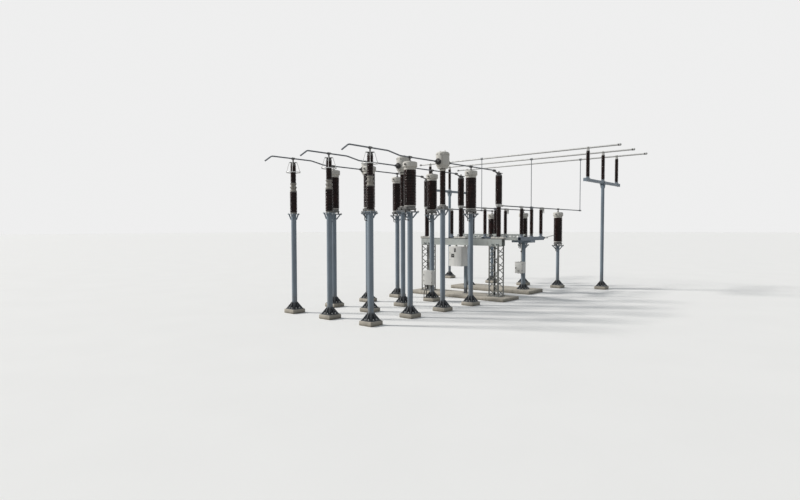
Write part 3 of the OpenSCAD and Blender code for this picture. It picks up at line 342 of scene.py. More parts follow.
@dataclass(frozen=True)
class Glaze(Finish):
    """Glazed porcelain."""

    light: Colour

    def material(self) -> bpy.types.Material:
        """Makes a deep glaze that pools darker and lighter, with a thin film of dust on the sheds.

        Returns:
            The material.
        """
        graph = self.graph()
        graph.layer(self.light, graph.cloud(11.0, 4.0, 0.35, 0.72, stretch=(1.0, 1.0, 0.35)))
        up = graph.band(graph.upward("Normal"), 0.15, 0.9)
        graph.layer(SHED_DUST, graph.times(up, graph.cloud(6.0, 5.0, 0.3, 0.75, 0.02, 0.10)))
        graph.bump(graph.noise(45.0, 2.0), 0.0006, 0.25)
        gloss = graph.cloud(8.0, 4.0, 0.3, 0.75, 0.16, 0.32)
        return graph.finish(gloss, Specular_IOR_Level=0.16, Coat_Weight=0.07, Coat_Roughness=0.08)


@dataclass(frozen=True)
class Concrete(Finish):
    """Cast concrete that has stood outdoors."""

    def material(self) -> bpy.types.Material:
        """Makes concrete with clouds, sand, stones, runs down its sides, a damp foot and pores.

        Returns:
            The material.
        """
        graph = self.graph(0.74)
        graph.layer(self.colour, graph.cloud(2.6, 8.0, 0.32, 0.70))
        graph.layer(darker(self.colour, 1.22), graph.times(graph.cloud(130.0, 3.0, 0.38, 0.66), 0.30))
        graph.layer(darker(self.colour, 0.60), graph.band(graph.shades(75.0), 0.80, 0.95, 0.0, 0.35))
        graph.layer(RUNS, graph.cloud(13.0, 6.0, 0.50, 0.75, 0.0, 0.45, (1.0, 1.0, 0.15)))
        low = graph.band(graph.upward("Object"), 0.07, 0.0)
        graph.layer(DAMP, graph.times(low, graph.cloud(8.0, 6.0, 0.30, 0.65, 0.2, 0.75)))
        pores = graph.band(graph.cells(48.0), 0.02, 0.16)
        graph.bump(graph.times(graph.noise(38.0, 8.0), pores), 0.004, 0.7)
        return graph.finish(graph.cloud(20.0, 4.0, 0.3, 0.7, 0.82, 0.95))


@dataclass(frozen=True)
class Galvanised(Finish):
    """Hot-dip galvanised steel that has dulled."""

    metallic: float
    spangle: float = 26.0
    contrast: float = 1.0
    stains: float = 0.35

    def material(self) -> bpy.types.Material:
        """Makes zinc with its crystals, pale bloom and brown stains.

        Returns:
            The material.
        """
        graph = self.graph(1.0 - 0.22 * self.contrast)
        pale = darker(self.colour, 1.0 + 0.16 * self.contrast)
        graph.layer(pale, graph.band(graph.shades(self.spangle), 0.1, 0.9))
        graph.layer(BLOOM, graph.cloud(6.0, 7.0, 0.48, 0.74, 0.0, 0.45))
        graph.layer(STAINS, graph.cloud(9.0, 6.0, 0.56, 0.80, 0.0, self.stains, (1.0, 1.0, 0.22)))
        graph.bump(graph.noise(60.0, 3.0), 0.0006, 0.3)
        gloss = graph.band(graph.shades(self.spangle), 0.1, 0.9, 0.42, 0.62)
        return graph.finish(gloss, Metallic=self.metallic)


@dataclass(frozen=True)
class Metal(Finish):
    """Bare aluminium, zinc or dark cast metal."""

    metallic: float
    roughness: float = 0.42
    grain: Point = (1.0, 1.0, 1.0)

    def material(self) -> bpy.types.Material:
        """Makes metal with a fine grain and a dull skin of oxide in patches.

        Returns:
            The material.
        """
        graph = self.graph()
        graph.layer(darker(self.colour, 0.55), graph.cloud(12.0, 7.0, 0.38, 0.72, 0.0, 0.35))
        grain = graph.noise(120.0, 4.0, self.grain)
        graph.layer(darker(self.colour, 1.15), graph.band(grain, 0.35, 0.65, 0.0, 0.22))
        graph.bump(grain, 0.0005, 0.3)
        gloss = graph.cloud(16.0, 5.0, 0.3, 0.7, self.roughness, self.roughness + 0.2)
        return graph.finish(gloss, Metallic=self.metallic)


@dataclass(frozen=True)
class Glass(Finish):
    """Dark glass of windows and gauges."""

    def material(self) -> bpy.types.Material:
        """Makes a glossy dark pane with a film of dust.

        Returns:
            The material.
        """
        graph = self.graph()
        film = graph.cloud(14.0, 5.0, 0.35, 0.75, 0.0, 0.14)
        graph.layer(PANE_DUST, film)
        return graph.finish(graph.band(film, 0.0, 0.14, 0.05, 0.25), Coat_Weight=1.0, Coat_Roughness=0.03)


@dataclass(frozen=True)
class Sleeve(Finish):
    """Ribbed black conduit that has bleached a little."""

    ribs: float = 160.0
    wave: float = 3.18

    def material(self) -> bpy.types.Material:
        """Makes matt black plastic with rings along it and pale dust in patches.

        Returns:
            The material.
        """
        graph = self.graph()
        graph.layer(HOSE_DUST, graph.cloud(18.0, 5.0, 0.35, 0.75, 0.0, 0.30))
        inputs = {"Scale": self.ribs / self.wave, "Vector": graph.node("TexCoord", "Object")}
        graph.bump(graph.node("TexWave", "Fac", inputs, bands_direction="Z"), 0.0015, 0.8)
        return graph.finish(graph.cloud(30.0, 4.0, 0.3, 0.7, 0.45, 0.62))


ALONG = (0.1, 1.0, 1.0)
ACROSS = (1.0, 0.1, 1.0)
CONCRETE = Concrete("cast_concrete", Slot.CONCRETE, (0.50, 0.465, 0.40))
GLAZE = Glaze("brown_glaze", Slot.PORCELAIN, (0.0085, 0.0030, 0.0028), (0.026, 0.0080, 0.0065))
# The columns' black foot is partly a bitumen layer and partly painted shade between the gussets.
COLUMN = Paint("column_grey", Slot.COLUMN, (0.235, 0.290, 0.345), tar_and_shade=0.34)
PALE = Paint("pale_enamel", Slot.PALE_CASTING, (0.68, 0.665, 0.62), roughness=0.5, streaks=0.34)
# The tank's strong dark runs are partly dirt and partly painted shade.
TANK = Paint("tank_grey", Slot.TANK, (0.215, 0.215, 0.21), (0.045, 0.04, 0.035), streaks=0.75, dust=0.5)
CABINET = Paint("cabinet_white", Slot.CABINET, (0.88, 0.88, 0.85), roughness=0.36, streaks=0.12)
FRAME = Paint("frame_grey", Slot.FRAME, (0.22, 0.265, 0.325), streaks=0.35)
BEAM = Galvanised("beam_zinc", Slot.BEAM, (0.42, 0.45, 0.435), 0.1, spangle=95.0, contrast=0.22)
LATTICE = Galvanised("lattice_zinc", Slot.GALVANISED, (0.18, 0.185, 0.175), 0.2, contrast=0.6, stains=0.7)
RING = Metal("ring_alloy", Slot.RING, (0.58, 0.585, 0.58), 0.6)
FITTING = Metal("fitting_alloy", Slot.FITTING, (0.46, 0.46, 0.445), 0.55)
CONDUCTOR = Metal("conductor_alloy", Slot.CONDUCTOR, (0.17, 0.185, 0.205), 0.5, grain=ALONG)
BUSBAR = Metal("busbar_alloy", Slot.BUSBAR, (0.42, 0.425, 0.42), 0.5, grain=ACROSS)
BLADE = Metal("blade_alloy", Slot.CONDUCTOR, (0.62, 0.62, 0.60), 0.4, grain=ALONG)
ZINC = Metal("bolt_zinc", Slot.GALVANISED, (0.40, 0.41, 0.41), 0.7, 0.35)
WEATHERED = Paint("weathered_casting", Slot.PALE_CASTING, (0.33, 0.31, 0.275), (0.07, 0.06, 0.05),
                  roughness=0.55, streaks=0.75, dust=0.5)
DARK_CASTING = Metal("dark_casting", Slot.DARK_CASTING, (0.105, 0.105, 0.105), 0.3, 0.5)
DARK_TERMINAL = Metal("dark_terminal", Slot.DARK_TERMINAL, (0.040, 0.037, 0.037), 0.1, 0.5)
GLASS = Glass("gauge_glass", Slot.DARK_TERMINAL, (0.012, 0.013, 0.015))
CONDUIT = Sleeve("ribbed_black", Slot.CONDUIT, (0.022, 0.022, 0.024))

DRESS = {finish.slot: finish for finish in (
    CONCRETE, GLAZE, COLUMN, PALE, TANK, RING, DARK_TERMINAL, CONDUIT, CABINET, LATTICE, BEAM, FRAME, FITTING,
    DARK_CASTING, CONDUCTOR, BUSBAR)}
OWN_FINISH = {"arrester_mid_flanges": WEATHERED, "earth_switch": BLADE}


class Paintshop:
    """Makes each finish's material once and puts it on pieces."""

    def __init__(self) -> None:
        """Starts with no material made."""
        self.made: dict[str, bpy.types.Material] = {}

    def material(self, finish: Finish) -> bpy.types.Material:
        """The finish's material.

        Args:
            finish: Finish that is wanted.

        Returns:
            Its material, made the first time.
        """
        if finish.name not in self.made:
            self.made[finish.name] = finish.material()
        return self.made[finish.name]

    def dress(self, nodes: dict[str, bpy.types.Object], record: dict) -> None:
        """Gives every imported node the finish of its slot.

        Args:
            nodes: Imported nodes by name.
            record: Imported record, whose subparts name each node's slot.
        """
        slots = {row["node"]: Slot(row["material_slot"]) for row in record["subparts"]}
        for name, node in nodes.items():
            for place in node.material_slots:
                place.material = self.material(OWN_FINISH.get(name, DRESS[slots[name]]))
            LOG.info("dressed %s", name)


class Form:
    """A mesh in the making, in metres and in the part's own frame."""

    def __init__(self) -> None:
        """Starts with nothing in it."""
        self.mesh = bmesh.new()

    def close(self) -> "Form":
        """Merges points that lie on one another and turns the faces outwards.

        Returns:
            This form.
        """
        bmesh.ops.remove_doubles(self.mesh, verts=self.mesh.verts, dist=1e-5)
        bmesh.ops.recalc_face_normals(self.mesh, faces=self.mesh.faces)
        return self

    def bevel(self, edges: Sequence[bmesh.types.BMEdge], width: float, segments: int) -> None:
        """Bevels some edges by a width, with a number of faces across."""
        bmesh.ops.bevel(self.mesh, geom=edges, offset=width, segments=segments, profile=0.5,
                        affect="EDGES", material=-1)

    @classmethod
    def turned(cls, outline: Outline, steps: int = 24, ring: bool = False) -> "Form":
        """Spins an outline round Z.

        Args:
            outline: Radius and height of each point, from the lower end up.
            steps: Sides of the full turn.
            ring: Whether the outline closes on itself, clear of the axis.

        Returns:
            The turned form.
        """
        form = cls()
        points = [form.mesh.verts.new((radius, 0.0, height)) for radius, height in outline]
        pairs = list(zip(points, points[1:]))
        if ring:
            pairs.append((points[-1], points[0]))
        for pair in pairs:
            form.mesh.edges.new(pair)
        bmesh.ops.spin(form.mesh, geom=form.mesh.verts[:] + form.mesh.edges[:], cent=(0.0, 0.0, 0.0),
                       axis=(0.0, 0.0, 1.0), angle=math.tau, steps=steps, use_merge=True)
        return form.close()

    @classmethod
    def block(cls, length: float, width: float, height: float, bevel: float = 0.0015,
              segments: int = 1) -> "Form":
        """Box with its underside centred on the origin.

        Args:
            length: Length along X.
            width: Width along Y.
            height: Height.
            bevel: Width of the bevel on its edges.
            segments: Faces across the bevel.

        Returns:
            The box.
        """
        form = cls()
        bmesh.ops.create_cube(form.mesh, size=1.0)
        bmesh.ops.translate(form.mesh, vec=(0.0, 0.0, 0.5), verts=form.mesh.verts)
        bmesh.ops.scale(form.mesh, vec=(length, width, height), verts=form.mesh.verts)
        form.bevel(form.mesh.edges[:], bevel, segments)
        return form

    @classmethod
    def rod(cls, length: float, radius: float, steps: int = 16, chamfer: float = 0.0) -> "Form":
        """Straight rod that stands on the origin.

        Args:
            length: Length along Z.
            radius: Radius to its corners.
            steps: Sides.
            chamfer: Width of the chamfer round both ends.

        Returns:
            The rod.
        """
        form = cls()
        bmesh.ops.create_cone(form.mesh, cap_ends=True, segments=steps, radius1=radius, radius2=radius,
                              depth=length)
        bmesh.ops.translate(form.mesh, vec=(0.0, 0.0, length / 2), verts=form.mesh.verts)
        if chamfer > 0.0:
            rims = [edge for edge in form.mesh.edges
                    if any(len(face.verts) == steps for face in edge.link_faces)]
            form.bevel(rims, chamfer, 1)
        return form

    @classmethod
    def pipe(cls, route: Sequence[Point], radius: float, sides: int = 16, bend: float = 0.0) -> "Form":
        """Pipe along a route with rounded bends.

        Args:
            route: Corners of the route.
            radius: Radius of the pipe.
            sides: Sides of its section, a multiple of 4.
            bend: Length before and after each corner that the bend takes, or 0 where the route is free.

        Returns:
            The pipe.
        """
        corners = [Vector(point) for point in route]
        control = [corners[0]]
        for before, corner, after in zip(corners, corners[1:], corners[2:]):
            if bend > 0.0:
                control.append(corner + bend * (before - corner).normalized())
            control.append(corner)
            if bend > 0.0:
                control.append(corner + bend * (after - corner).normalized())
        control.append(corners[-1])
        curve = bpy.data.curves.new("route", "CURVE")
        curve.dimensions = "3D"
        curve.bevel_depth = radius
        curve.bevel_resolution = (sides - 4) // 2
        curve.resolution_u = 5
        curve.use_fill_caps = True
        spline = curve.splines.new("NURBS")
        spline.points.add(len(control) - 1)
        for point, place in zip(spline.points, control):
            point.co = (*place, 1.0)
        spline.order_u = 3
        spline.use_endpoint_u = True
        holder = bpy.data.objects.new("route", curve)
        mesh = bpy.data.meshes.new_from_object(holder)
        form = cls()
        form.mesh.from_mesh(mesh)
        bpy.data.meshes.remove(mesh)
        bpy.data.objects.remove(holder)
        bpy.data.curves.remove(curve)
        return form.close()

    def add(self, unit: "Form", *places: Matrix) -> "Form":
        """Puts copies of another form in this one.

        Args:
            unit: Form to copy.
            places: Where its copies go.

        Returns:
            This form.
        """
        mesh = bpy.data.meshes.new("unit")
        unit.mesh.to_mesh(mesh)
        for place in places:
            copy = mesh.copy()
            copy.transform(place)
            self.mesh.from_mesh(copy)
            bpy.data.meshes.remove(copy)
        bpy.data.meshes.remove(mesh)
        return self

    def nuts(self, across: float, places: Iterable[Matrix]) -> "Form":
        """Puts nuts in this form, each on a washer and with the end of its stud.

        Args:
            across: Width across their flats, which sets every other size.
            places: Where they stand.

        Returns:
            This form.
        """
        radius = across / math.sqrt(3.0)
        foot = 0.12 * across
        nut = Form.rod(foot, 1.15 * radius, 10)
        nut.add(Form.rod(0.75 * across, radius, 6, 0.08 * across), at(z=foot))
        nut.add(Form.rod(0.25 * across, 0.52 * radius, 8), at(z=foot + 0.75 * across))
        return self.add(nut, *places)


def round_places(count: int, radius: float, height: float, axis: Axis = Axis.Z,
                 share: float = 0.5) -> list[Matrix]:
    """Places on a circle round Z, each with its X outwards, the first a share of a step round from X."""
    turns = [360.0 * (i + share) / count for i in range(count)]
    return [at(turn=turn) @ at(radius, 0.0, height, axis) for turn in turns]


def corner_places(reach_x: float, reach_y: float, height: float, axis: Axis = Axis.Z) -> list[Matrix]:
    """The four places at a rectangle's corners, round Z."""
    return [at(x, y, height, axis) for x in (-reach_x, reach_x) for y in (-reach_y, reach_y)]


def through_places(reach_x: float, reach_y: float, upper: float, lower: float) -> list[Matrix]:
    """Places at a rectangle's corners on top of a joint, and pointing down under it."""
    return corner_places(reach_x, reach_y, upper) + corner_places(reach_x, reach_y, lower, Axis.DOWN)


def hoop(radius: float, wire: float, steps: int = 24, sides: int = 8) -> Form:
    """Hoop of round wire about Z, by the radius to the wire's middle and the wire's own."""
    turns = [math.tau * i / sides for i in range(sides)]
    return Form.turned([(radius + wire * math.cos(a), wire * math.sin(a)) for a in turns], steps, ring=True)


def washer(inner: float, outer: float, height: float, steps: int = 24, edge: float = 0.0008) -> Form:
    """Flat ring that stands on the origin, with its outer edges broken."""
    outline = [(inner, 0.0), (outer - edge, 0.0), (outer, edge), (outer, height - edge),
               (outer - edge, height), (inner, height)]
    return Form.turned(outline, steps, ring=True)


def disc(radius: float, height: float, steps: int = 24, edge: float = 0.001) -> Form:
    """Flat disc that stands on the origin, with its upper edge broken."""
    outline = [(0.0, 0.0), (radius, 0.0), (radius, height - edge), (radius - edge, height), (0.0, height)]
    return Form.turned(outline, steps)


def bracket(length: float, foot: float, rise: float, thickness: float) -> Form:
    """Angle bracket whose foot reaches out along +Y from the upright back at the origin."""
    form = Form().add(Form.block(length, foot, thickness), at(y=foot / 2))
    return form.add(Form.block(length, thickness, rise), at(y=thickness / 2))


def gland(nut: Numbers, sleeve: Numbers, step: float = 0.012) -> Form:
    """Cable gland that stands on the origin: a nut's rod with a sleeve's rod a step up."""
    return Form.rod(*nut).add(Form.rod(*sleeve), at(z=step))


def centre(node: str) -> Vector:
    """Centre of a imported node's box."""
    low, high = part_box(node)
    return (low + high) / 2


def half(node: str) -> Vector:
    """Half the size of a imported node's box."""
    low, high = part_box(node)
    return (high - low) / 2


class Layout:
    """Rows, phases and levels of the bay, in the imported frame."""

    plinth_margin: float = 0.52
    conductor_radius: float = 0.019
    tube_clamp_reach: float = 0.044

    def __init__(self) -> None:
        """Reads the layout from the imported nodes' boxes."""
        base = half("arrester_columns").x
        low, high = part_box("vt_columns")
        mast_low, mast_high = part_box("busbar_masts")
        plinth_low, plinth_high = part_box("column_plinths")
        self.phases = tuple(centre(f"turning_insulator_{i}").y for i in (1, 2, 3))
        self.arrester_x = centre("arrester_columns").x
        self.line_x = low.x + base
        self.ct_x = centre("ct_columns").x
        self.metering_x = high.x - base
        self.isolator_x = centre("turning_insulator_2").x
        self.bus_vt_x = centre("bus_vt_columns").x
        self.mast_x = centre("busbar_masts").x
        self.mast_ys = (mast_low.y + base, mast_high.y - base)
        self.plinth_half = self.arrester_x - plinth_low.x
        self.plinth_top = plinth_high.z
        self.post_reach = half("isolator_fixed_insulators").x - half("turning_insulator_1").x
        self.isolator_column_y = half("isolator_plinth").y - self.plinth_margin
        self.upper_level = centre("ct_terminals").z
        self.lower_level = centre("lower_conductors").z
        self.ring_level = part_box("upper_conductors")[1].z - self.conductor_radius
        self.busbar_level = centre("busbar_tubes").z
        self.tube_reach = half("busbar_tubes").x - self.tube_clamp_reach
        self.leg_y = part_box("breaker_legs")[1].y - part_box("breaker_legs")[1].x

    def row(self, *xs: float, z: float = 0.0) -> list[Matrix]:
        """Places at each phase of some rows."""
        return [at(x, y, z) for x in xs for y in self.phases]

    def columns(self) -> list[Matrix]:
        """Places of every column on a single plinth."""
        rows = self.row(self.arrester_x, self.line_x, self.ct_x, self.metering_x, self.bus_vt_x)
        return rows + [at(self.mast_x, y) for y in self.mast_ys]

    def isolator_columns(self, z: float, turn: float = 0.0) -> list[Matrix]:
        """Places on the isolator's two columns."""
        return [at(self.isolator_x, side * self.isolator_column_y, z, turn=turn) for side in (-1, 1)]

    def legs(self) -> list[Matrix]:
        """Places of the breaker's two lattice legs."""
        return [at(y=-self.leg_y), at(y=self.leg_y)]

    def tubes(self) -> tuple[float, ...]:
        """Places of the three busbar tubes along the bay."""
        return (self.mast_x - self.tube_reach, self.mast_x, self.mast_x + self.tube_reach)

    def posts(self, z: float = 0.0) -> list[Matrix]:
        """Places of the busbar posts, one for each tube on each mast."""
        return [at(x, y, z) for y in self.mast_ys for x in self.tubes()]

    def droppers(self, z: float, turn: float = 0.0) -> list[Matrix]:
        """Places on the three droppers, one from each phase to its tube."""
        return [at(x, y, z, turn=turn) for x, y in zip(reversed(self.tubes()), self.phases)]

    def transformers(self) -> list[Matrix]:
        """Places of the undersides of all nine voltage transformers."""
        rows = self.row(self.line_x, self.metering_x, z=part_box("vt_columns")[1].z)
        return rows + self.row(self.bus_vt_x, z=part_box("bus_vt_columns")[1].z)


@dataclass
class Maker:
    """What every maker of pieces shares: the layout that it reads and the shop that paints them.

    A tuple among a maker's fields holds what the call that takes it needs, in that call's order. The
    first value given to nuts is their width across the flats.
    """

    layout: Layout
    shop: Paintshop

    def make(self, name: str, finish: Finish, form: Form, places: Iterable[Matrix] = (Matrix(),),
             body: Body = Body.BAY, replaces: Sequence[str] = (), sharp: float = 32.0) -> None:
        """Makes a piece of the object.

        Args:
            name: Name of the piece.
            finish: Its finish.
            form: Form that it is made of.
            places: Where the form's copies go.
            body: Body that it rides on.
            replaces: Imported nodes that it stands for.
            sharp: Angle past which an edge stays sharp, in degrees.
        """
        mesh = bpy.data.meshes.new(name)
        whole = Form().add(form, *places)
        whole.mesh.to_mesh(mesh)
        whole.mesh.free()
        mesh.shade_smooth()
        mesh.set_sharp_from_angle(angle=math.radians(sharp))
        mesh.materials.append(self.shop.material(finish))
        piece = bpy.data.objects.new(name, mesh)
        bpy.context.scene.collection.objects.link(piece)
        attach(piece, body.value)
        if replaces:
            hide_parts(*replaces)
        LOG.info("made %s with %d faces", name, len(mesh.polygons))


@dataclass
class Foundations(Maker):
    """Cast plinths under the columns, the breaker and the isolator."""

    chamfer: float = 0.014
    grid: float = 0.07
    wear: float = 0.0035
    waves: float = 9.0
    skin: float = 0.001

    def plinth(self, size: Vector) -> Form:
        """Plinth with chamfered edges and a slightly uneven skin, never outside its box.

        Args:
            size: Its length, width and height.

        Returns:
            The plinth.
        """
        form = Form.block(*size, self.chamfer, 2)
        for axis in range(2):
            normal = Vector((0.0, 0.0, 0.0))
            normal[axis] = 1.0
            count = max(2, round(size[axis] / self.grid))
            for i in range(1, count):
                whole = form.mesh.verts[:] + form.mesh.edges[:] + form.mesh.faces[:]
                cut = normal * (size[axis] * (i / count - 0.5))
                bmesh.ops.bisect_plane(form.mesh, geom=whole, plane_co=cut, plane_no=normal)
        middle = Vector((0.0, 0.0, 0.5 * size.z))
        for vert in form.mesh.verts:
            side = vert.co - middle
            face = max(range(3), key=lambda axis: abs(side[axis] / size[axis]))
            if vert.co.z < self.skin or (vert.co.z > size.z - self.skin and face == 2):
                continue
            depth = self.wear * (0.5 + 0.5 * noise.noise(vert.co * self.waves + size))
            vert.co[face] -= math.copysign(depth, side[face])
        return form

    def build(self) -> None:
        """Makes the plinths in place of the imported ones."""
        place = self.layout
        single = self.plinth(Vector((2 * place.plinth_half, 2 * place.plinth_half, place.plinth_top)))
        self.make("column_plinths_cast", CONCRETE, single, place.columns(), replaces=["column_plinths"])
        for node in ("breaker_plinth", "isolator_plinth"):
            spot = at(centre(node).x, centre(node).y)
            self.make(f"{node}_cast", CONCRETE, self.plinth(2 * half(node)), [spot], replaces=[node])


@dataclass(frozen=True)
class Porcelain:
    """One porcelain body: thick sheds, flat below and sloping above, between two metal collars."""

    height: float
    radius: float
    core: float
    collar_wall: float = 0.011
    collar_height: float = 0.024
    collar_edge: float = 0.003
    collar_room: float = 1.7
    overlap: float = 0.004
    pitch: float = 0.040
    steps: int = 32
    shed: Outline = (
        (0.0, 0.03), (0.10, 0.05), (0.90, 0.07), (0.98, 0.13), (1.0, 0.24), (1.0, 0.50), (0.97, 0.62),
        (0.87, 0.73), (0.20, 0.93), (0.0, 0.97))

    def sheds(self) -> Form:
        """Makes the glazed body, each shed an outline in shares of its depth and pitch.

        Returns:
            The body, standing on the origin.
        """
        room = self.height - self.collar_room * self.collar_height
        count = round(room / self.pitch)
        depth = self.radius - self.core
        outline = [(0.0, 0.0), (self.core, 0.0)]
        outline += [(self.core + reach * depth, self.collar_height + (i + share) * room / count)
                    for i in range(count) for reach, share in self.shed]
        outline += [(self.core, self.height), (0.0, self.height)]
        return Form.turned(outline, self.steps)

    def collars(self) -> Form:
        """Makes the two cemented collars.

        Returns:
            The collars at both ends of the body.
        """
        inner = self.core - self.overlap
        outer = self.core + self.collar_wall
        top = self.collar_height - self.collar_edge
        outline = [(inner, 0.0), (outer, 0.0), (outer, top - self.collar_edge),
                   (outer - self.collar_edge, top), (inner, top)]
        ring = Form.turned(outline, self.steps, ring=True)
        return Form().add(ring, at(), at(z=self.height, axis=Axis.DOWN))


@dataclass
class Porcelains(Maker):
    """Every porcelain of the bay with its collars."""

    arrester_base: float = 0.03
    transformer_share: float = 0.87
    post_share: float = 0.68

    def stand(self, name: str, node: str, places: Sequence[Matrix], height: float, radius: float,
              share: float, cement: Finish = DARK_CASTING, body: Body = Body.BAY) -> None:
        """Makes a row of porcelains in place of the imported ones.

        Args:
            name: Name of the row.
            node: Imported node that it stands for.
            places: Where the porcelains stand.
            height: Height of one.
            radius: Radius of its sheds.
            share: Share of that radius that the core takes.
            cement: Finish of the collars.
            body: Body that they ride on.
        """
        unit = Porcelain(height, radius, share * radius)
        self.make(name, GLAZE, unit.sheds(), places, body, [node], 50.0)
        self.make(f"{name}_collars", cement, unit.collars(), places, body)

    def build(self) -> None:
        """Makes the porcelains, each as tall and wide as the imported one."""
        place = self.layout
        outer = place.phases[2]
        low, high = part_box("vt_insulators")
        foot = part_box("vt_tanks")[1].z
        rows = place.row(place.line_x, place.metering_x, z=foot) + place.row(place.bus_vt_x, z=low.z)
        self.stand("vt_porcelains", "vt_insulators", rows, high.z - foot, high.y - outer,
                   self.transformer_share, PALE)
        for node, x, share, base, cement in (
                ("ct_insulators", place.ct_x, 0.84, 0.0, PALE),
                ("breaker_support_insulators", 0.0, 0.80, 0.0, DARK_CASTING),
                ("breaker_interrupters", 0.0, 0.85, 0.0, DARK_CASTING),
                ("arrester_upper_units", place.arrester_x, 0.81, 0.0, DARK_CASTING),
                ("arrester_lower_units", place.arrester_x, 0.83, self.arrester_base, DARK_CASTING)):
            low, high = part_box(node)
            foot = low.z + base
            self.stand(f"{node}_glazed", node, place.row(x, z=foot), high.z - foot, high.y - outer,
                       share, cement)
        low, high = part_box("busbar_insulators")
        self.stand("busbar_post_porcelains", "busbar_insulators", place.posts(low.z), high.z - low.z,
                   place.mast_ys[0] - low.y, self.post_share)
        low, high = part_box("isolator_fixed_insulators")
        size = (high.z - low.z, half("turning_insulator_1").y, self.post_share)
        rows = place.row(place.isolator_x - place.post_reach, place.isolator_x + place.post_reach, z=low.z)
        self.stand("isolator_fixed_porcelains", "isolator_fixed_insulators", rows, *size)
        for i, (body, y) in enumerate(zip(POLES, place.phases), start=1):
            self.stand(f"turning_porcelain_{i}", f"turning_insulator_{i}", [at(place.isolator_x, y, low.z)],
                       *size, body=body)


@dataclass
class Conductors(Maker):
    """Upper tubes with smooth bends, from past the arresters to the breaker."""

    bend: float = 0.09
    sides: int = 20
    chamfer: float = 0.002
    stub: float = 0.26
    stub_slope: float = 35.0
    drum_room: float = 0.09
    bend_shares: Numbers = (0.43, 0.74)

    def build(self) -> None:
        """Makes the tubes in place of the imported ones."""
        place = self.layout
        low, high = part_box("upper_conductors")
        radius = high.y - place.phases[2]
        level = place.upper_level
        ring_level = high.z - radius
        ct_reach = half("ct_terminals").x - self.drum_room
        slope = math.radians(self.stub_slope)
        lead = low.x + self.stub * math.cos(slope) + radius * math.sin(slope)
        span = place.line_x - place.arrester_x
        first, second = (place.arrester_x + share * span for share in self.bend_shares)
        route = [(lead - self.stub * math.cos(slope), 0.0, ring_level - self.stub * math.sin(slope)),
                 (lead, 0.0, ring_level), (first, 0.0, ring_level), (second, 0.0, level),
                 (place.ct_x - ct_reach, 0.0, level)]
        tube = Form.pipe(route, radius, self.sides, self.bend)
        tube.add(Form.rod(high.x - place.ct_x - ct_reach, radius, self.sides, self.chamfer),
                 at(place.ct_x + ct_reach, 0.0, level, Axis.X))
        self.make("upper_tubes", CONDUCTOR, tube, place.row(0.0), replaces=["upper_conductors"])


@dataclass
class Fasteners(Maker):
    """Nuts on the base plates of the columns and the lattice legs."""

    anchor: float = 0.034
    count: int = 8
    ring: float = 0.150
    leg_anchor: float = 0.024
    leg_inset: float = 0.016
    leg_spread: float = 0.11
    plate: float = 0.02

    def build(self) -> None:
        """Stamps every anchor nut, eight between the gussets of each column."""
        place = self.layout
        unit = Form().nuts(self.anchor, round_places(self.count, self.ring, place.plinth_top + self.plate))
        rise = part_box("isolator_plinth")[1].z - place.plinth_top
        self.make("anchor_nuts", ZINC, unit, place.columns() + place.isolator_columns(rise))
        low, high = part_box("breaker_legs")
        reach = high.x - self.leg_inset
        level = low.z + self.plate
        feet = corner_places(reach, self.leg_spread, level) + corner_places(self.leg_spread, reach, level)
        self.make("leg_anchor_nuts", ZINC, Form().nuts(self.leg_anchor, feet), place.legs())


@dataclass(frozen=True)
class TubeClamp:
    """Ears and bolts of a split clamp, centred on its tube, which runs along X."""

    radius: float
    length: float
    ear: float = 0.022
    thickness: float = 0.018
    nut: float = 0.015
    leaf_share: float = 0.92
    seam_share: float = 0.04
    bolt_shares: Numbers = (0.27, 0.55)
    edge: float = 0.002

    def ears(self) -> Form:
        """Makes the two bolted ears.

        Returns:
            The ears, with the joint between them.
        """
        seam = self.seam_share * self.thickness
        leaf = Form.block(self.leaf_share * self.length, 2 * (self.radius + self.ear),
                          0.5 * self.thickness - seam, self.edge)
        return Form().add(leaf, at(z=seam), at(z=-seam, axis=Axis.DOWN))

    def bolts(self) -> Form:
        """Makes the four bolts through the ears.

        Returns:
            A nut on top and one below for each.
        """
        along, out = self.bolt_shares
        face = 0.5 * self.thickness
        return Form().nuts(self.nut, through_places(along * self.length, self.radius + out * self.ear,
                                                    face, -face))


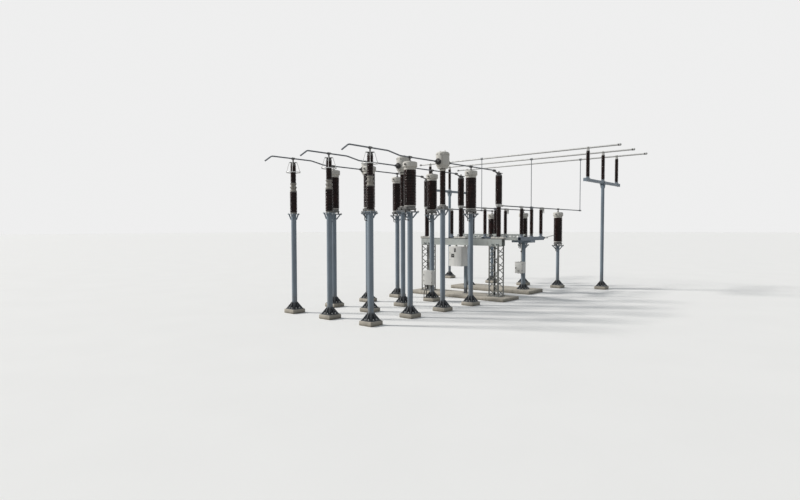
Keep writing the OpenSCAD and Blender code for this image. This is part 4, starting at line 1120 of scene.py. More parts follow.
@dataclass
class TubeClamps(Maker):
    """Every bolted clamp on the bay's tubes."""

    wall: float = 0.014
    length: float = 0.09
    arrester_length: float = 0.07
    top_length: float = 0.08
    bus_length: float = 0.07
    earth_length: float = 0.05
    earth_nut: float = 0.012
    earth_reach: float = 0.94
    socket_middle: float = 0.088

    def build(self) -> None:
        """Makes the clamps of every row."""
        place = self.layout
        radius = half("lower_conductors").z + self.wall
        bus_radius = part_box("busbar_clamps")[1].z - place.busbar_level
        top_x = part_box("breaker_top_terminals")[0].x + 0.5 * self.top_length
        mid_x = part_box("breaker_mid_terminals")[1].x - 0.5 * self.length
        jaw = place.post_reach + self.socket_middle
        level = place.lower_level
        heads = place.row(place.line_x, place.metering_x, z=place.upper_level)
        heads += place.row(place.bus_vt_x, z=level)
        lower = place.row(mid_x, place.isolator_x - jaw, place.isolator_x + jaw, z=level)
        lower += place.droppers(level)
        posts = [at(x, y, place.busbar_level, turn=90.0) for x in place.tubes() for y in place.mast_ys]
        plain = TubeClamp(radius, self.length)
        for name, clamp, finish, places in (
                ("vt_clamp", plain, DARK_TERMINAL, heads),
                ("arrester_clamp", TubeClamp(radius, self.arrester_length), DARK_CASTING,
                 place.row(place.arrester_x, z=place.ring_level)),
                ("breaker_top_clamp", TubeClamp(radius, self.top_length), DARK_CASTING,
                 place.row(top_x, z=place.upper_level)),
                ("lower_clamp", plain, FITTING, lower),
                ("earth_contact_clamp", TubeClamp(radius, self.earth_length, nut=self.earth_nut), FITTING,
                 place.row(place.isolator_x + self.earth_reach, z=level)),
                ("busbar_post_clamp", TubeClamp(bus_radius, self.bus_length), FITTING, posts),
                ("dropper_clamp", TubeClamp(bus_radius, self.length), FITTING,
                 place.droppers(place.busbar_level, 90.0))):
            self.make(f"{name}_ears", finish, clamp.ears(), places)
            self.make(f"{name}_bolts", ZINC, clamp.bolts(), places)


@dataclass
class VoltageTransformers(Maker):
    """Fittings of the nine voltage transformers, built round one that stands on the origin."""

    plate: float = 0.014
    head_plate: float = 0.016
    corner: float = 0.150
    flange_ring: float = 0.1465
    lid: Numbers = (0.060, 0.114, 0.008, 0.0025, 2)
    lid_screws: Numbers = (0.023, 0.050, 0.008)
    lid_face: float = -0.203
    lid_middle: float = 0.091
    gland_nut: Numbers = (0.014, 0.021, 6, 0.002)
    gland_sleeve: Numbers = (0.022, 0.0155, 12, 0.002)
    gland_x: float = -0.190
    gland_z: float = 0.058
    bezel: Numbers = (0.0205, 0.0265, 0.007)
    bezel_ring: float = 0.0235
    glass: Numbers = (0.0212, 0.003)
    gauge_face: float = -0.2005
    bead: Numbers = (0.00352, 48, 6)
    bead_inset: float = 0.00132
    bead_rises: Numbers = (0.066, 0.116, 0.166)
    neck: Numbers = (0.14, 0.1635, 0.012, 40, 0.003)
    neck_rise: float = 0.024
    top_ring: float = 0.029
    top_rise: float = 0.222

    def build(self) -> None:
        """Makes the beads, gauges, terminal-box lids, glands and bolts."""
        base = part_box("vt_columns")[1].z
        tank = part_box("vt_tanks")[1].z - base
        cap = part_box("vt_insulators")[1].z - base
        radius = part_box("vt_heads")[1].x - self.layout.bus_vt_x
        bead = hoop(radius - self.bead_inset, *self.bead)
        beads = Form().add(bead, *(at(z=cap + rise) for rise in self.bead_rises))
        beads.add(washer(*self.neck), at(z=cap + self.neck_rise))
        gauge = at(self.gauge_face, 0.0, cap + self.bead_rises[1], Axis.BACK)
        bezel = washer(*self.bezel).nuts(0.006, round_places(4, self.bezel_ring, self.bezel[2]))
        lid = at(self.lid_face, 0.0, self.lid_middle, Axis.BACK)
        bolts = Form().nuts(0.015, round_places(12, self.flange_ring, tank))
        bolts.nuts(0.020, through_places(self.corner, self.corner, self.plate, -self.head_plate))
        bolts.add(Form().nuts(0.008, corner_places(*self.lid_screws)), lid)
        bolts.nuts(0.012, round_places(4, self.top_ring, cap + self.top_rise))
        for name, finish, form, place in (
                ("vt_cap_beads", PALE, beads, at()),
                ("vt_gauge_bezels", DARK_CASTING, bezel, gauge),
                ("vt_gauge_glasses", GLASS, disc(*self.glass), gauge),
                ("vt_terminal_box_lids", TANK, Form.block(*self.lid), lid),
                ("vt_glands", DARK_TERMINAL, gland(self.gland_nut, self.gland_sleeve),
                 at(self.gland_x, 0.0, self.gland_z, Axis.DOWN)),
                ("vt_bolts", ZINC, bolts, at())):
            self.make(name, finish, Form().add(form, place), self.layout.transformers())


@dataclass
class CurrentTransformers(Maker):
    """Fittings of the three current transformers, built round one that stands on the origin."""

    plate: float = 0.016
    head_plate: float = 0.016
    corner: float = 0.130
    flange_ring: float = 0.0885
    clip: Numbers = (0.014, 0.026, 0.052, 0.003, 2)
    clip_rise: float = 0.422
    eye: Numbers = (0.017, 0.0055, 16, 8)
    eye_foot: Numbers = (0.017, 0.008, 16, 0.002)
    eye_rise: float = 0.021
    eye_sink: float = 0.002
    eye_y: float = 0.085
    band: Numbers = (0.0790, 0.0835, 0.016, 36)
    band_rise: float = 0.029
    boss_ring: Numbers = (0.034, 0.058, 0.004, 32)
    boss_face: float = 0.250
    rim: Numbers = (0.070, 0.091, 0.009, 40, 0.002)
    rim_face: float = 0.224
    drum_face: float = 0.234
    drum_ring: float = 0.0695
    clamp_wall: float = 0.014
    clamp_middle: float = 0.295
    clamp_length: float = 0.085
    lid: Numbers = (0.052, 0.092, 0.008, 0.0025, 2)
    lid_screws: Numbers = (0.020, 0.040, 0.008)
    lid_face: float = -0.148
    lid_rise: float = 0.031

    def drums(self, face: float) -> list[Matrix]:
        """Places on both primary terminal drums, a given way out from the middle."""
        level = self.layout.upper_level
        return [at(face, 0.0, level, Axis.X), at(-face, 0.0, level, Axis.BACK)]

    def build(self) -> None:
        """Makes the clips, eyes, neck bands, drum rings, terminal-box lids and bolts."""
        place = self.layout
        foot, flange = (corner.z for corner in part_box("ct_bases"))
        head, top = (corner.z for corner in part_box("ct_heads"))
        clips = Form().add(Form.block(*self.clip),
                           *round_places(12, half("ct_heads").x, head + self.clip_rise))
        eye = Form().add(hoop(*self.eye), at(z=self.eye_rise, axis=Axis.Y))
        eye.add(disc(*self.eye_foot), at(z=-self.eye_sink))
        clips.add(eye, at(0.0, -self.eye_y, top), at(0.0, self.eye_y, top))
        clamp = TubeClamp(half("lower_conductors").z + self.clamp_wall, self.clamp_length)
        middles = [at(x, 0.0, place.upper_level) for x in (self.clamp_middle, -self.clamp_middle)]
        rims = Form().add(washer(*self.rim), *self.drums(self.rim_face)).add(clamp.ears(), *middles)
        lid = at(self.lid_face, 0.0, foot + self.plate + self.lid_rise, Axis.BACK)
        bolts = Form().nuts(0.018, through_places(self.corner, self.corner, foot + self.plate,
                                                  foot - self.head_plate))
        bolts.nuts(0.014, round_places(8, self.flange_ring, flange))
        bolts.add(Form().nuts(0.007, corner_places(*self.lid_screws)), lid)
        bolts.add(Form().nuts(0.010, round_places(8, self.drum_ring, 0.0)), *self.drums(self.drum_face))
        bolts.add(clamp.bolts(), *middles)
        for name, finish, form in (
                ("ct_lid_clips", PALE, clips),
                ("ct_neck_bands", DARK_TERMINAL, Form().add(washer(*self.band), at(z=head + self.band_rise))),
                ("ct_boss_rings", DARK_TERMINAL,
                 Form().add(washer(*self.boss_ring), *self.drums(self.boss_face))),
                ("ct_drum_rims", DARK_TERMINAL, rims),
                ("ct_terminal_box_lids", TANK, Form().add(Form.block(*self.lid), lid)),
                ("ct_bolts", ZINC, bolts)):
            self.make(name, finish, form, place.row(place.ct_x))


@dataclass
class Arresters(Maker):
    """Fittings of the three surge arresters, built round one on the bay's centre line."""

    base: float = 0.03
    head_plate: float = 0.016
    corner: float = 0.098
    edge: float = 0.003
    foot_levels: Numbers = (0.014, 0.017, 0.018)
    foot_step: float = 0.007
    steps: int = 36
    bolt_inset: float = 0.009
    wire: float = 0.011
    socket: Numbers = (0.030, 0.0095, 10, 0.002)
    socket_rise: float = 0.006

    def build(self) -> None:
        """Makes the stepped feet, the ring arms' sockets and the bolts of every flange."""
        spots = self.layout.row(self.layout.arrester_x)
        low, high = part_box("arrester_mid_flanges")
        radius = half("arrester_mid_flanges").x
        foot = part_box("arrester_columns")[1].z
        rim, shoulder, step = self.foot_levels
        neck = radius - self.foot_step
        outline = [(0.0, 0.0), (radius - self.edge, 0.0), (radius, self.edge), (radius, rim),
                   (radius - self.edge, shoulder), (neck, step), (neck, self.base), (0.0, self.base)]
        feet = Form().add(Form.turned(outline, self.steps), at(z=foot))
        self.make("arrester_feet", WEATHERED, feet, spots)
        bolts = Form().nuts(0.018, through_places(self.corner, self.corner, foot, foot - self.head_plate))
        middle = 0.5 * (low.z + high.z)
        outer = radius - self.bolt_inset
        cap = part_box("arrester_caps")[0].z
        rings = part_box("arrester_grading_rings")
        for across, count, reach, level, axis, share in (
                (0.014, 8, outer, low.z + 0.023, Axis.Z, 0.5),
                (0.014, 8, outer, middle + 0.010, Axis.Z, 0.5),
                (0.014, 8, outer, middle - 0.010, Axis.DOWN, 0.5),
                (0.012, 8, outer - 0.005, high.z - 0.024, Axis.DOWN, 0.5),
                (0.010, 6, 0.063, cap + 0.026, Axis.Z, 0.0),
                (0.012, 4, 0.075, rings[1].z, Axis.Z, 0.5)):
            bolts.nuts(across, round_places(count, reach, level, axis, share))
        self.make("arrester_bolts", ZINC, bolts, spots)
        reach = half("arrester_grading_rings").x - self.wire
        sockets = round_places(4, reach, rings[0].z + self.wire + self.socket_rise)
        self.make("ring_arm_sockets", RING, Form().add(Form.rod(*self.socket), *sockets), spots)


@dataclass
class Breaker(Maker):
    """Fittings of the breaker: bolts, beam brackets, cover screws, door windows and duct screws."""

    foot_ring: float = 0.081
    flange_ring: float = 0.0975
    top_ring: float = 0.0935
    top_flange: float = 0.023
    arm_rise: float = 0.090
    arm_bolts: Numbers = (0.062, 0.020)
    cover_screws: Outline = ((0.076, 0.128), (0.076, 0.198))
    rim: Numbers = (0.094, 0.1043, 0.004, 36)
    rim_drop: float = 0.040
    plug: Numbers = (0.030, 0.012, 24, 0.003)
    plug_nut: Numbers = (0.016, 0.019, 6, 0.002)
    plug_rise: float = 0.122
    plug_step: float = 0.010
    pad: Numbers = (0.105, 0.085, 0.014, 0.003, 2)
    pad_rib: Numbers = (0.0525, 0.012, 0.034, 0.002)
    pad_bolts: Numbers = (0.0294, 0.0238)
    pad_x: float = 0.1375
    pad_rib_x: float = 0.106
    pad_drops: Numbers = (0.016, 0.048, 0.002)
    bracket: Numbers = (0.130, 0.062, 0.085, 0.009)
    bracket_rib: Numbers = (0.045, 0.008, 0.070)
    bracket_rib_place: Numbers = (0.026, 0.0, 0.004)
    bracket_bolts: Numbers = (0.040, 0.040, 0.055)
    bracket_spread: float = 0.09
    lip: Numbers = (0.022, 0.006)
    lip_insets: Numbers = (0.018, 0.004, 0.002)
    lip_room: float = 0.012
    lip_edge: float = 0.001
    drive_plate: float = 0.026
    lock_nut: Numbers = (0.014, 0.017, 6, 0.0015)
    lock_x: float = -0.05
    lock_ys: Numbers = (0.41, 0.45, 1.05, 1.09)
    lattice_bays: int = 7
    lattice_foot: float = 0.04
    lattice_inset: float = 0.030
    angle_middle: float = 0.024
    end_rise: float = 0.024
    bolt_step: float = 0.034
    door_inset: float = 0.023
    pane: float = 0.003
    pane_gap: float = 0.002
    pane_edge: float = 0.0008
    rim_width: float = 0.010
    rim_height: float = 0.007
    upright_share: float = 0.51
    upright_size: Numbers = (0.130, 0.080)
    upright_drop: float = 0.185
    square_share: float = 0.68
    square_side: float = 0.130
    square_drop: float = 0.373
    dial: Numbers = (0.049, 0.058, 0.009, 36, 0.002)
    knob: Numbers = (0.013, 0.006, 20, 0.002)
    pointer: Numbers = (0.038, 0.005, 0.003, 0.001)
    pointer_place: Numbers = (-0.012, 0.012)
    pointer_turn: float = 40.0
    flag: Numbers = (0.030, 0.022, 0.004, 0.001)
    flag_rise: float = 0.012
    duct_inset: float = 0.020
    duct_plate: float = 0.012
    duct_half: float = 0.045
    duct_lid: Numbers = (1.180, 0.066, 0.005)
    duct_lid_rise: float = 0.66
    duct_screws: int = 5
    duct_screw_start: float = 0.12
    duct_screw_step: float = 0.27
    duct_screw_x: float = 0.024

    def poles(self) -> None:
        """Bolts of every flange on the three poles, with the cover screws, rims, plugs and rear pads."""
        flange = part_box("breaker_mid_terminals")[1].z
        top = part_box("breaker_top_terminals")[0].z
        arm = top + self.arm_rise
        bolts = Form().nuts(0.018, corner_places(*self.arm_bolts, arm))
        for across, count, ring, level in (
                (0.014, 8, self.foot_ring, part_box("breaker_support_insulators")[0].z),
                (0.012, 10, self.flange_ring, flange),
                (0.014, 10, self.top_ring, top + self.top_flange)):
            bolts.nuts(across, round_places(count, ring, level))
        for screws in self.cover_screws:
            bolts.nuts(0.012, corner_places(*screws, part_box("breaker_pole_housings")[1].z))
        plug = disc(*self.plug).add(Form.rod(*self.plug_nut), at(z=self.plug_step))
        plate, rib, face = self.pad_drops
        pads = Form().add(Form.block(*self.pad), at(self.pad_x, 0.0, arm - plate))
        pads.add(Form.block(*self.pad_rib), at(self.pad_rib_x, 0.0, arm - rib))
        pads.add(Form().nuts(0.014, corner_places(*self.pad_bolts, 0.0)), at(self.pad_x, 0.0, arm - face))
        for name, finish, form, place in (
                ("breaker_pole_bolts", ZINC, bolts, at()),
                ("breaker_mid_rims", FITTING, washer(*self.rim), at(z=flange - self.rim_drop)),
                ("breaker_cap_plugs", DARK_CASTING, plug, at(z=top + self.plug_rise)),
                ("breaker_top_pads", DARK_CASTING, pads, at())):
            self.make(name, finish, Form().add(form, place), self.layout.row(0.0))

    def beam(self) -> None:
        """Angle brackets that hold the beam to its legs, end stiffeners and the drive rod's lock nuts."""
        low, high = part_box("breaker_beam")
        angle = Form().add(bracket(*self.bracket), at(turn=-90.0))
        angle.add(Form.block(*self.bracket_rib), at(*self.bracket_rib_place))
        out, spread, up = self.bracket_bolts
        wall = self.bracket[3]
        bolts = Form()
        for y in (-spread, spread):
            bolts.nuts(0.018, [at(out, y, wall), at(wall, y, up, Axis.X)])
        spots = [at(side * high.x, leg * self.layout.leg_y + end * self.bracket_spread, low.z, turn=turn)
                 for side, turn in ((1, 0.0), (-1, 180.0)) for leg in (-1, 1) for end in (-1, 1)]
        self.make("beam_brackets", BEAM, angle, spots)
        inset_x, inset_y, rise = self.lip_insets
        lip = Form.block(*self.lip, high.z - low.z - self.lip_room, self.lip_edge)
        self.make("beam_end_lips", BEAM, lip,
                  [at(x, y, low.z + rise) for x in (low.x + inset_x, high.x - inset_x)
                   for y in (low.y + inset_y, high.y - inset_y)])
        lock_nuts = [at(self.lock_x, side * y, high.z + 0.5 * self.drive_plate, Axis.Y)
                     for side in (-1, 1) for y in self.lock_ys]
        bolts = Form().add(bolts, *spots)
        self.make("beam_bolts", ZINC, bolts.add(Form.rod(*self.lock_nut), *lock_nuts))

    def lattice(self) -> None:
        """Bolts where the bracing meets the corner angles, on all four faces of both legs."""
        low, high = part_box("breaker_legs")
        side = high.x - self.lattice_inset
        step = (high.z - low.z - 2 * self.lattice_foot) / self.lattice_bays
        ends = {0: (self.end_rise,), self.lattice_bays: (-self.end_rise,)}
        places = []
        for i in range(self.lattice_bays + 1):
            level = low.z + self.lattice_foot + i * step
            x = (side - self.angle_middle) * (-1 if i % 2 == 0 else 1)
            places += [at(x, -side, level + rise, Axis.NEAR) for rise in ends.get(i, (0.0, self.bolt_step))]
        leg = Form().add(Form().nuts(0.015, places), *(at(turn=turn) for turn in (0, 90, 180, 270)))
        self.make("lattice_bolts", ZINC, leg, self.layout.legs())

    def door(self) -> None:
        """Panes, rubber frames, the round gauge and its pointer, on the door."""
        low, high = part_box("breaker_cabinet_door")
        face = low.x + self.door_inset
        tall, wide = self.upright_size
        side = self.square_side
        upright = at(face, (2 * self.upright_share - 1) * high.y, high.z - self.upright_drop + 0.5 * tall)
        square = at(face, (2 * self.square_share - 1) * high.y, high.z - self.square_drop + 0.5 * side)
        out = at(axis=Axis.BACK, turn=180.0)
        panes = Form()
        for height, width, place in ((tall, wide, upright), (side, side, square)):
            pane = Form.block(height - self.pane_gap, width - self.pane_gap, self.pane, self.pane_edge)
            panes.add(pane, place @ out)
        rubber = Form()
        for sign in (-0.5, 0.5):
            rubber.add(Form.block(self.rim_width, wide, self.rim_height),
                       upright @ at(z=sign * (tall - self.rim_width)) @ out)
            rubber.add(Form.block(tall - 2 * self.rim_width, self.rim_width, self.rim_height),
                       upright @ at(y=sign * (wide - self.rim_width)) @ out)
        dial = square @ at(-self.pane, 0.0, 0.0, Axis.BACK)
        rubber.add(washer(*self.dial), dial)
        marks = Form().add(disc(*self.knob), dial)
        marks.add(Form.block(*self.pointer),
                  square @ at(-self.pane, *self.pointer_place, Axis.BACK, self.pointer_turn))
        marks.add(Form.block(*self.flag), upright @ at(-self.pane, 0.0, self.flag_rise, Axis.BACK))
        for name, finish, form in (("door_panes", GLASS, panes), ("door_rubber", DARK_TERMINAL, rubber),
                                   ("door_indicators", PALE, marks)):
            self.make(name, finish, form, body=Body.CABINET_DOOR)

    def duct(self) -> None:
        """Lids and screws of the cable duct and the nuts on its foot."""
        low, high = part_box("breaker_cabinet_leg")
        middle = centre("breaker_cabinet_leg")
        reach = 0.5 * (high.x - low.x) - self.duct_inset
        foot = at(middle.x, middle.y, low.z)
        self.make("duct_lids", COLUMN, Form.block(*self.duct_lid),
                  [foot @ at(0.0, -self.duct_half, self.duct_lid_rise, Axis.NEAR, 90.0),
                   foot @ at(self.duct_half, 0.0, self.duct_lid_rise, Axis.X)])
        bolts = Form().nuts(0.018, corner_places(reach, reach, self.duct_plate))
        face = self.duct_half + self.duct_lid[2]
        bolts.nuts(0.009, (at(x, -face, self.duct_screw_start + self.duct_screw_step * i, Axis.NEAR)
                           for i in range(self.duct_screws) for x in (-self.duct_screw_x, self.duct_screw_x)))
        self.make("duct_bolts", ZINC, bolts, [foot])

    def build(self) -> None:
        """Makes all the breaker's fittings."""
        for step in (self.poles, self.beam, self.lattice, self.door, self.duct):
            step()


@dataclass
class Isolator(Maker):
    """Fittings of the isolator, on the fixed parts and on each moving one."""

    frame_half: float = 0.06
    frame_rise: float = 0.060
    foot_ring: float = 0.064
    foot_plate: float = 0.014
    head_ring: float = 0.0595
    cap_ring: float = 0.046
    table_ring: float = 0.060
    table_plate: float = 0.025
    jaw_x: float = 0.030
    jaw_rise: float = 0.022
    jaw_ys: Numbers = (0.024, 0.033)
    spring: Numbers = (0.052, 0.016, 0.006)
    spring_y: float = 0.020
    bearing: Numbers = (0.0188, 0.034, 0.010, 24, 0.002)
    bearing_ring: float = 0.0275
    bearing_drop: float = 0.050
    cleat: Numbers = (0.060, 0.044, 0.050, 0.010)
    cleat_bolt_y: float = 0.028
    cleat_reach: float = 0.13
    cleat_drop: float = 0.220
    shaft_radius: float = 0.032
    table_height: float = 0.0853
    lever_length: float = 0.2
    lever_angle: float = 135.0
    lever_plate: float = 0.012
    lever_bolts: Numbers = (0.085, 0.011)
    pin_washer: Numbers = (0.0005, 0.015, 0.004, 16)
    pin_rise: float = 0.032
    hub_bolts: Numbers = (0.048, 0.021, 0.028)
    clamp_bolts: Numbers = (0.036, 0.037)
    tip_bolts: Numbers = (0.645, 0.017)
    tip_half: float = 0.006
    rod_nut: Numbers = (0.018, 0.0185, 6, 0.0015)
    rod_nut_steps: Numbers = (-0.070, 0.052)
    earth_tilt: float = -5.0
    earth_rise: float = 0.010
    earth_bolt_y: float = 0.021
    earth_bolt_z: float = 0.0315
    earth_collar: Numbers = (0.012, 0.021, 16, 0.002)
    earth_collar_x: float = 0.034
    earth_tips: Numbers = (0.915, 0.945)
    earth_tip_z: float = 0.005
    box_height: float = 0.40
    box_inset: float = 0.014
    panel: Numbers = (0.364, 0.270, 0.012, 0.003, 2)
    hinge: Numbers = (0.042, 0.0075, 12, 0.001)
    hinge_place: Numbers = (-0.008, -0.141)
    hinge_zs: Numbers = (0.075, 0.305)
    knob: Numbers = (0.017, 0.006, 20)
    knob_place: Numbers = (-0.012, 0.105)
    handle: Numbers = (0.070, 0.015, 0.012, 0.003, 2)
    handle_drop: float = 0.018
    slot: Numbers = (0.004, 0.090, 0.003, 0.001)
    slots: int = 5
    slot_start: float = 0.055
    slot_step: float = 0.013
    gland_nut: Numbers = (0.013, 0.019, 6, 0.0015)
    gland_sleeve: Numbers = (0.021, 0.013, 12, 0.003)
    gland_x: float = 0.12
    gland_ys: Numbers = (-0.08, 0.0, 0.08)
    shaft_x: float = -0.160
    collars: Outline = ((0.030, 0.016), (0.026, 0.030), (0.026, 0.050))
    collar_bore: float = 0.0165
    collar_edge: float = 0.003
    collar_step: float = 0.008
    collar_drop: float = 0.046

    def fixed(self) -> None:
        """Bolts of the outer posts, the frames' cleats and the earthing shaft's bearings."""
        place = self.layout
        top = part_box("turntable_2")[0].z + self.frame_rise
        foot, head = (corner.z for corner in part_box("isolator_fixed_insulators"))
        level = place.lower_level
        x = place.isolator_x
        post = Form().nuts(0.016, round_places(4, self.foot_ring, top + self.foot_plate))
        post.nuts(0.011, round_places(6, self.head_ring, foot - self.foot_plate, Axis.DOWN))
        post.nuts(0.010, round_places(4, self.cap_ring, head, Axis.DOWN))
        bolts = Form().add(post, *place.row(x - place.post_reach, x + place.post_reach))
        table = Form().nuts(0.014, round_places(4, self.table_ring, top + self.table_plate))
        upper, lower = self.jaw_ys
        springs = Form()
        for side in (-1, 1):
            jaw = side * (place.post_reach + self.jaw_x)
            finger = x + side * (place.post_reach - self.jaw_x)
            table.nuts(0.016, (at(jaw, y, level + self.jaw_rise) for y in (-upper, upper)))
            table.nuts(0.016, (at(jaw, y, level - self.jaw_rise, Axis.DOWN) for y in (-lower, lower)))
            for y in (-self.spring_y, self.spring_y):
                springs.add(Form.block(*self.spring), at(finger, y, level + self.jaw_rise),
                            at(finger, y, level - self.jaw_rise, Axis.DOWN))
        bolts.add(table, *place.row(x))
        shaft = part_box("earth_switch")[0].x + self.shaft_radius
        bearings = [at(shaft, y + side * self.frame_half, top - self.bearing_drop, axis)
                    for y in place.phases for side, axis in ((-1, Axis.NEAR), (1, Axis.Y))]
        self.make("earth_shaft_bearings", DARK_CASTING, washer(*self.bearing), bearings)
        bolts.add(Form().nuts(0.008, round_places(4, self.bearing_ring, self.bearing[2])), *bearings)
        wall = place.phases[2] - self.frame_half
        cleats = [at(x + end, side * wall, foot - self.cleat_drop, turn=turn)
                  for side, turn in ((-1, 0.0), (1, 180.0)) for end in (-self.cleat_reach, self.cleat_reach)]
        self.make("frame_cleats", FRAME, bracket(*self.cleat), cleats)
        bolts.add(Form().nuts(0.018, [at(0.0, self.cleat_bolt_y, self.cleat[3])]), *cleats)
        self.make("isolator_bolts", ZINC, bolts)
        self.make("finger_springs", DARK_CASTING, springs, place.row(0.0))

    def moving(self) -> None:
        """Bolts of the turning posts, levers and blades, of the ganging rod and of the earthing arms."""
        place = self.layout
        level = place.lower_level
        reach, spread = self.lever_bolts
        lever = Form().nuts(0.014, (at(reach, y) for y in (-spread, spread)))
        lever.add(washer(*self.pin_washer), at(self.lever_length, 0.0, self.pin_rise))
        for i, (body, y) in enumerate(zip(POLES, place.phases), start=1):
            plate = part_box(f"turntable_{i}")[0].z + self.table_height + self.lever_plate
            along, across, rise = self.hub_bolts
            blade = Form().nuts(0.018, corner_places(along, across, level + rise))
            blade.nuts(0.014, corner_places(*self.clamp_bolts, level))
            blade.nuts(0.011, through_places(*self.tip_bolts, level + self.tip_half, level - self.tip_half))
            blade.add(lever, at(z=plate, turn=self.lever_angle))
            self.make(f"pole_bolts_{i}", ZINC, blade, [at(place.isolator_x, y)], body)
        low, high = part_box("gang_rod")
        middle = centre("gang_rod")
        offset = self.lever_length * math.sin(math.radians(self.lever_angle))
        ends = [y + offset + step for y in place.phases for step in self.rod_nut_steps]
        self.make("gang_rod_nuts", ZINC, Form.rod(*self.rod_nut),
                  [at(middle.x, y, middle.z, Axis.Y) for y in ends if low.y < y < high.y - self.rod_nut[0]],
                  Body.GANG_LINK)
        hub = Form().nuts(0.014, (at(0.0, side * self.earth_bolt_y, self.earth_bolt_z)
                                  for side in (-1, 1)))
        hub.add(Form.rod(*self.earth_collar), at(self.earth_collar_x, 0.0, 0.0, Axis.X))
        hub.nuts(0.010, (at(x, 0.0, self.earth_tip_z) for x in self.earth_tips))
        shaft = place.row(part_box("earth_switch")[0].x + self.shaft_radius,
                          z=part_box("turntable_2")[0].z + self.earth_rise)
        tilt = Matrix.Rotation(math.radians(self.earth_tilt), 4, "Y")
        self.make("earth_hub_bolts", ZINC, hub, [spot @ tilt for spot in shaft], Body.EARTHING)

    def drive_box(self) -> None:
        """Door, hinges, handle, ventilation slots (dark strips of painted shade), glands and shaft collars of
        the drive box.
        """
        low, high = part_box("isolator_drive_box")
        y = -self.layout.isolator_column_y
        middle = 0.5 * self.box_height
        box = at(low.x + self.box_inset, y, low.z)
        self.make("drive_box_door", CABINET, Form.block(*self.panel),
                  [box @ at(0.0, 0.0, middle, Axis.BACK, 180.0)])
        knob_x, knob_y = self.knob_place
        dark = Form().add(Form.rod(*self.hinge), *(at(*self.hinge_place, z) for z in self.hinge_zs))
        dark.add(disc(*self.knob), at(knob_x, knob_y, middle, Axis.BACK))
        dark.add(Form.block(*self.handle),
                 at(-self.handle_drop, knob_y, middle - self.handle_drop, Axis.BACK, 180.0))
        # Dark strips stand for the ventilation slots: their dark is painted shade inside the openings.
        dark.add(Form.block(*self.slot), *(at(knob_x, 0.0, self.slot_start + self.slot_step * i, Axis.BACK)
                                           for i in range(self.slots)))
        self.make("drive_box_furniture", DARK_TERMINAL, dark, [box])
        self.make("drive_box_glands", DARK_TERMINAL, gland(self.gland_nut, self.gland_sleeve),
                  [box @ at(self.gland_x, across, 0.0, Axis.DOWN) for across in self.gland_ys])
        start = low.z + self.box_height + self.collar_step
        levels = (start, high.z - self.collar_drop, 0.5 * (start + high.z))
        collars = Form()
        for (outer, height), level in zip(self.collars, levels):
            collars.add(washer(self.collar_bore, outer, height, 24, self.collar_edge), at(z=level))
        self.make("drive_shaft_collars", DARK_CASTING, collars,
                  [at(self.layout.isolator_x + self.shaft_x, y)])

    def build(self) -> None:
        """Makes all the isolator's fittings."""
        for step in (self.fixed, self.moving, self.drive_box):
            step()


@dataclass
class Busbars(Maker):
    """Fittings of the masts, their posts and the tubes' ends."""

    crossbar: float = 0.10
    pedestal: float = 0.06
    end_cap: float = 0.044
    plate: float = 0.014
    foot_bolts: Numbers = (0.066, 0.050)
    foot_ring: float = 0.057
    head_ring: float = 0.0455
    head_rise: float = 0.040
    bracket: Numbers = (0.050, 0.034, 0.070, 0.009)
    bracket_bolts: Numbers = (0.023, 0.048)
    bracket_x: float = 0.055
    collar: Numbers = (0.0312, 0.0385, 0.075, 28, 0.002)
    seam: Numbers = (0.0425, 0.0022, 32, 6)

    def build(self) -> None:
        """Makes the pedestal bolts, crossbar brackets and the seams of the end caps."""
        place = self.layout
        foot, head = (corner.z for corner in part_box("busbar_insulators"))
        beam = foot - self.pedestal
        post = Form().nuts(0.018, corner_places(*self.foot_bolts, beam + self.plate))
        post.nuts(0.011, round_places(6, self.foot_ring, foot - self.plate, Axis.DOWN))
        post.nuts(0.010, round_places(4, self.head_ring, head + self.head_rise, share=0.0))
        bolts = Form().add(post, *place.posts())
        out, up = self.bracket_bolts
        wall = self.bracket[3]
        nuts = Form().nuts(0.016, [at(0.0, out, wall), at(0.0, wall, up, Axis.Y)])
        spots = [at(place.mast_x, y + 0.5 * side * self.crossbar, beam - self.crossbar, turn=turn) @ at(x)
                 for y in place.mast_ys for side, turn in ((1, 0.0), (-1, 180.0))
                 for x in (-self.bracket_x, self.bracket_x)]
        self.make("crossbar_brackets", COLUMN, bracket(*self.bracket), spots)
        self.make("busbar_bolts", ZINC, bolts.add(nuts, *spots))
        low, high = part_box("busbar_tubes")
        self.make("tube_end_collars", DARK_CASTING, washer(*self.collar).add(hoop(*self.seam), at()),
                  [at(x, y, place.busbar_level, axis) for x in place.tubes()
                   for y, axis in ((low.y + self.end_cap, Axis.Y), (high.y - self.end_cap, Axis.NEAR))])


HOSES = ((-0.130, -0.170), (0.060, 0.090), (0.120, 0.180))
HOSE_REACH = 0.1925


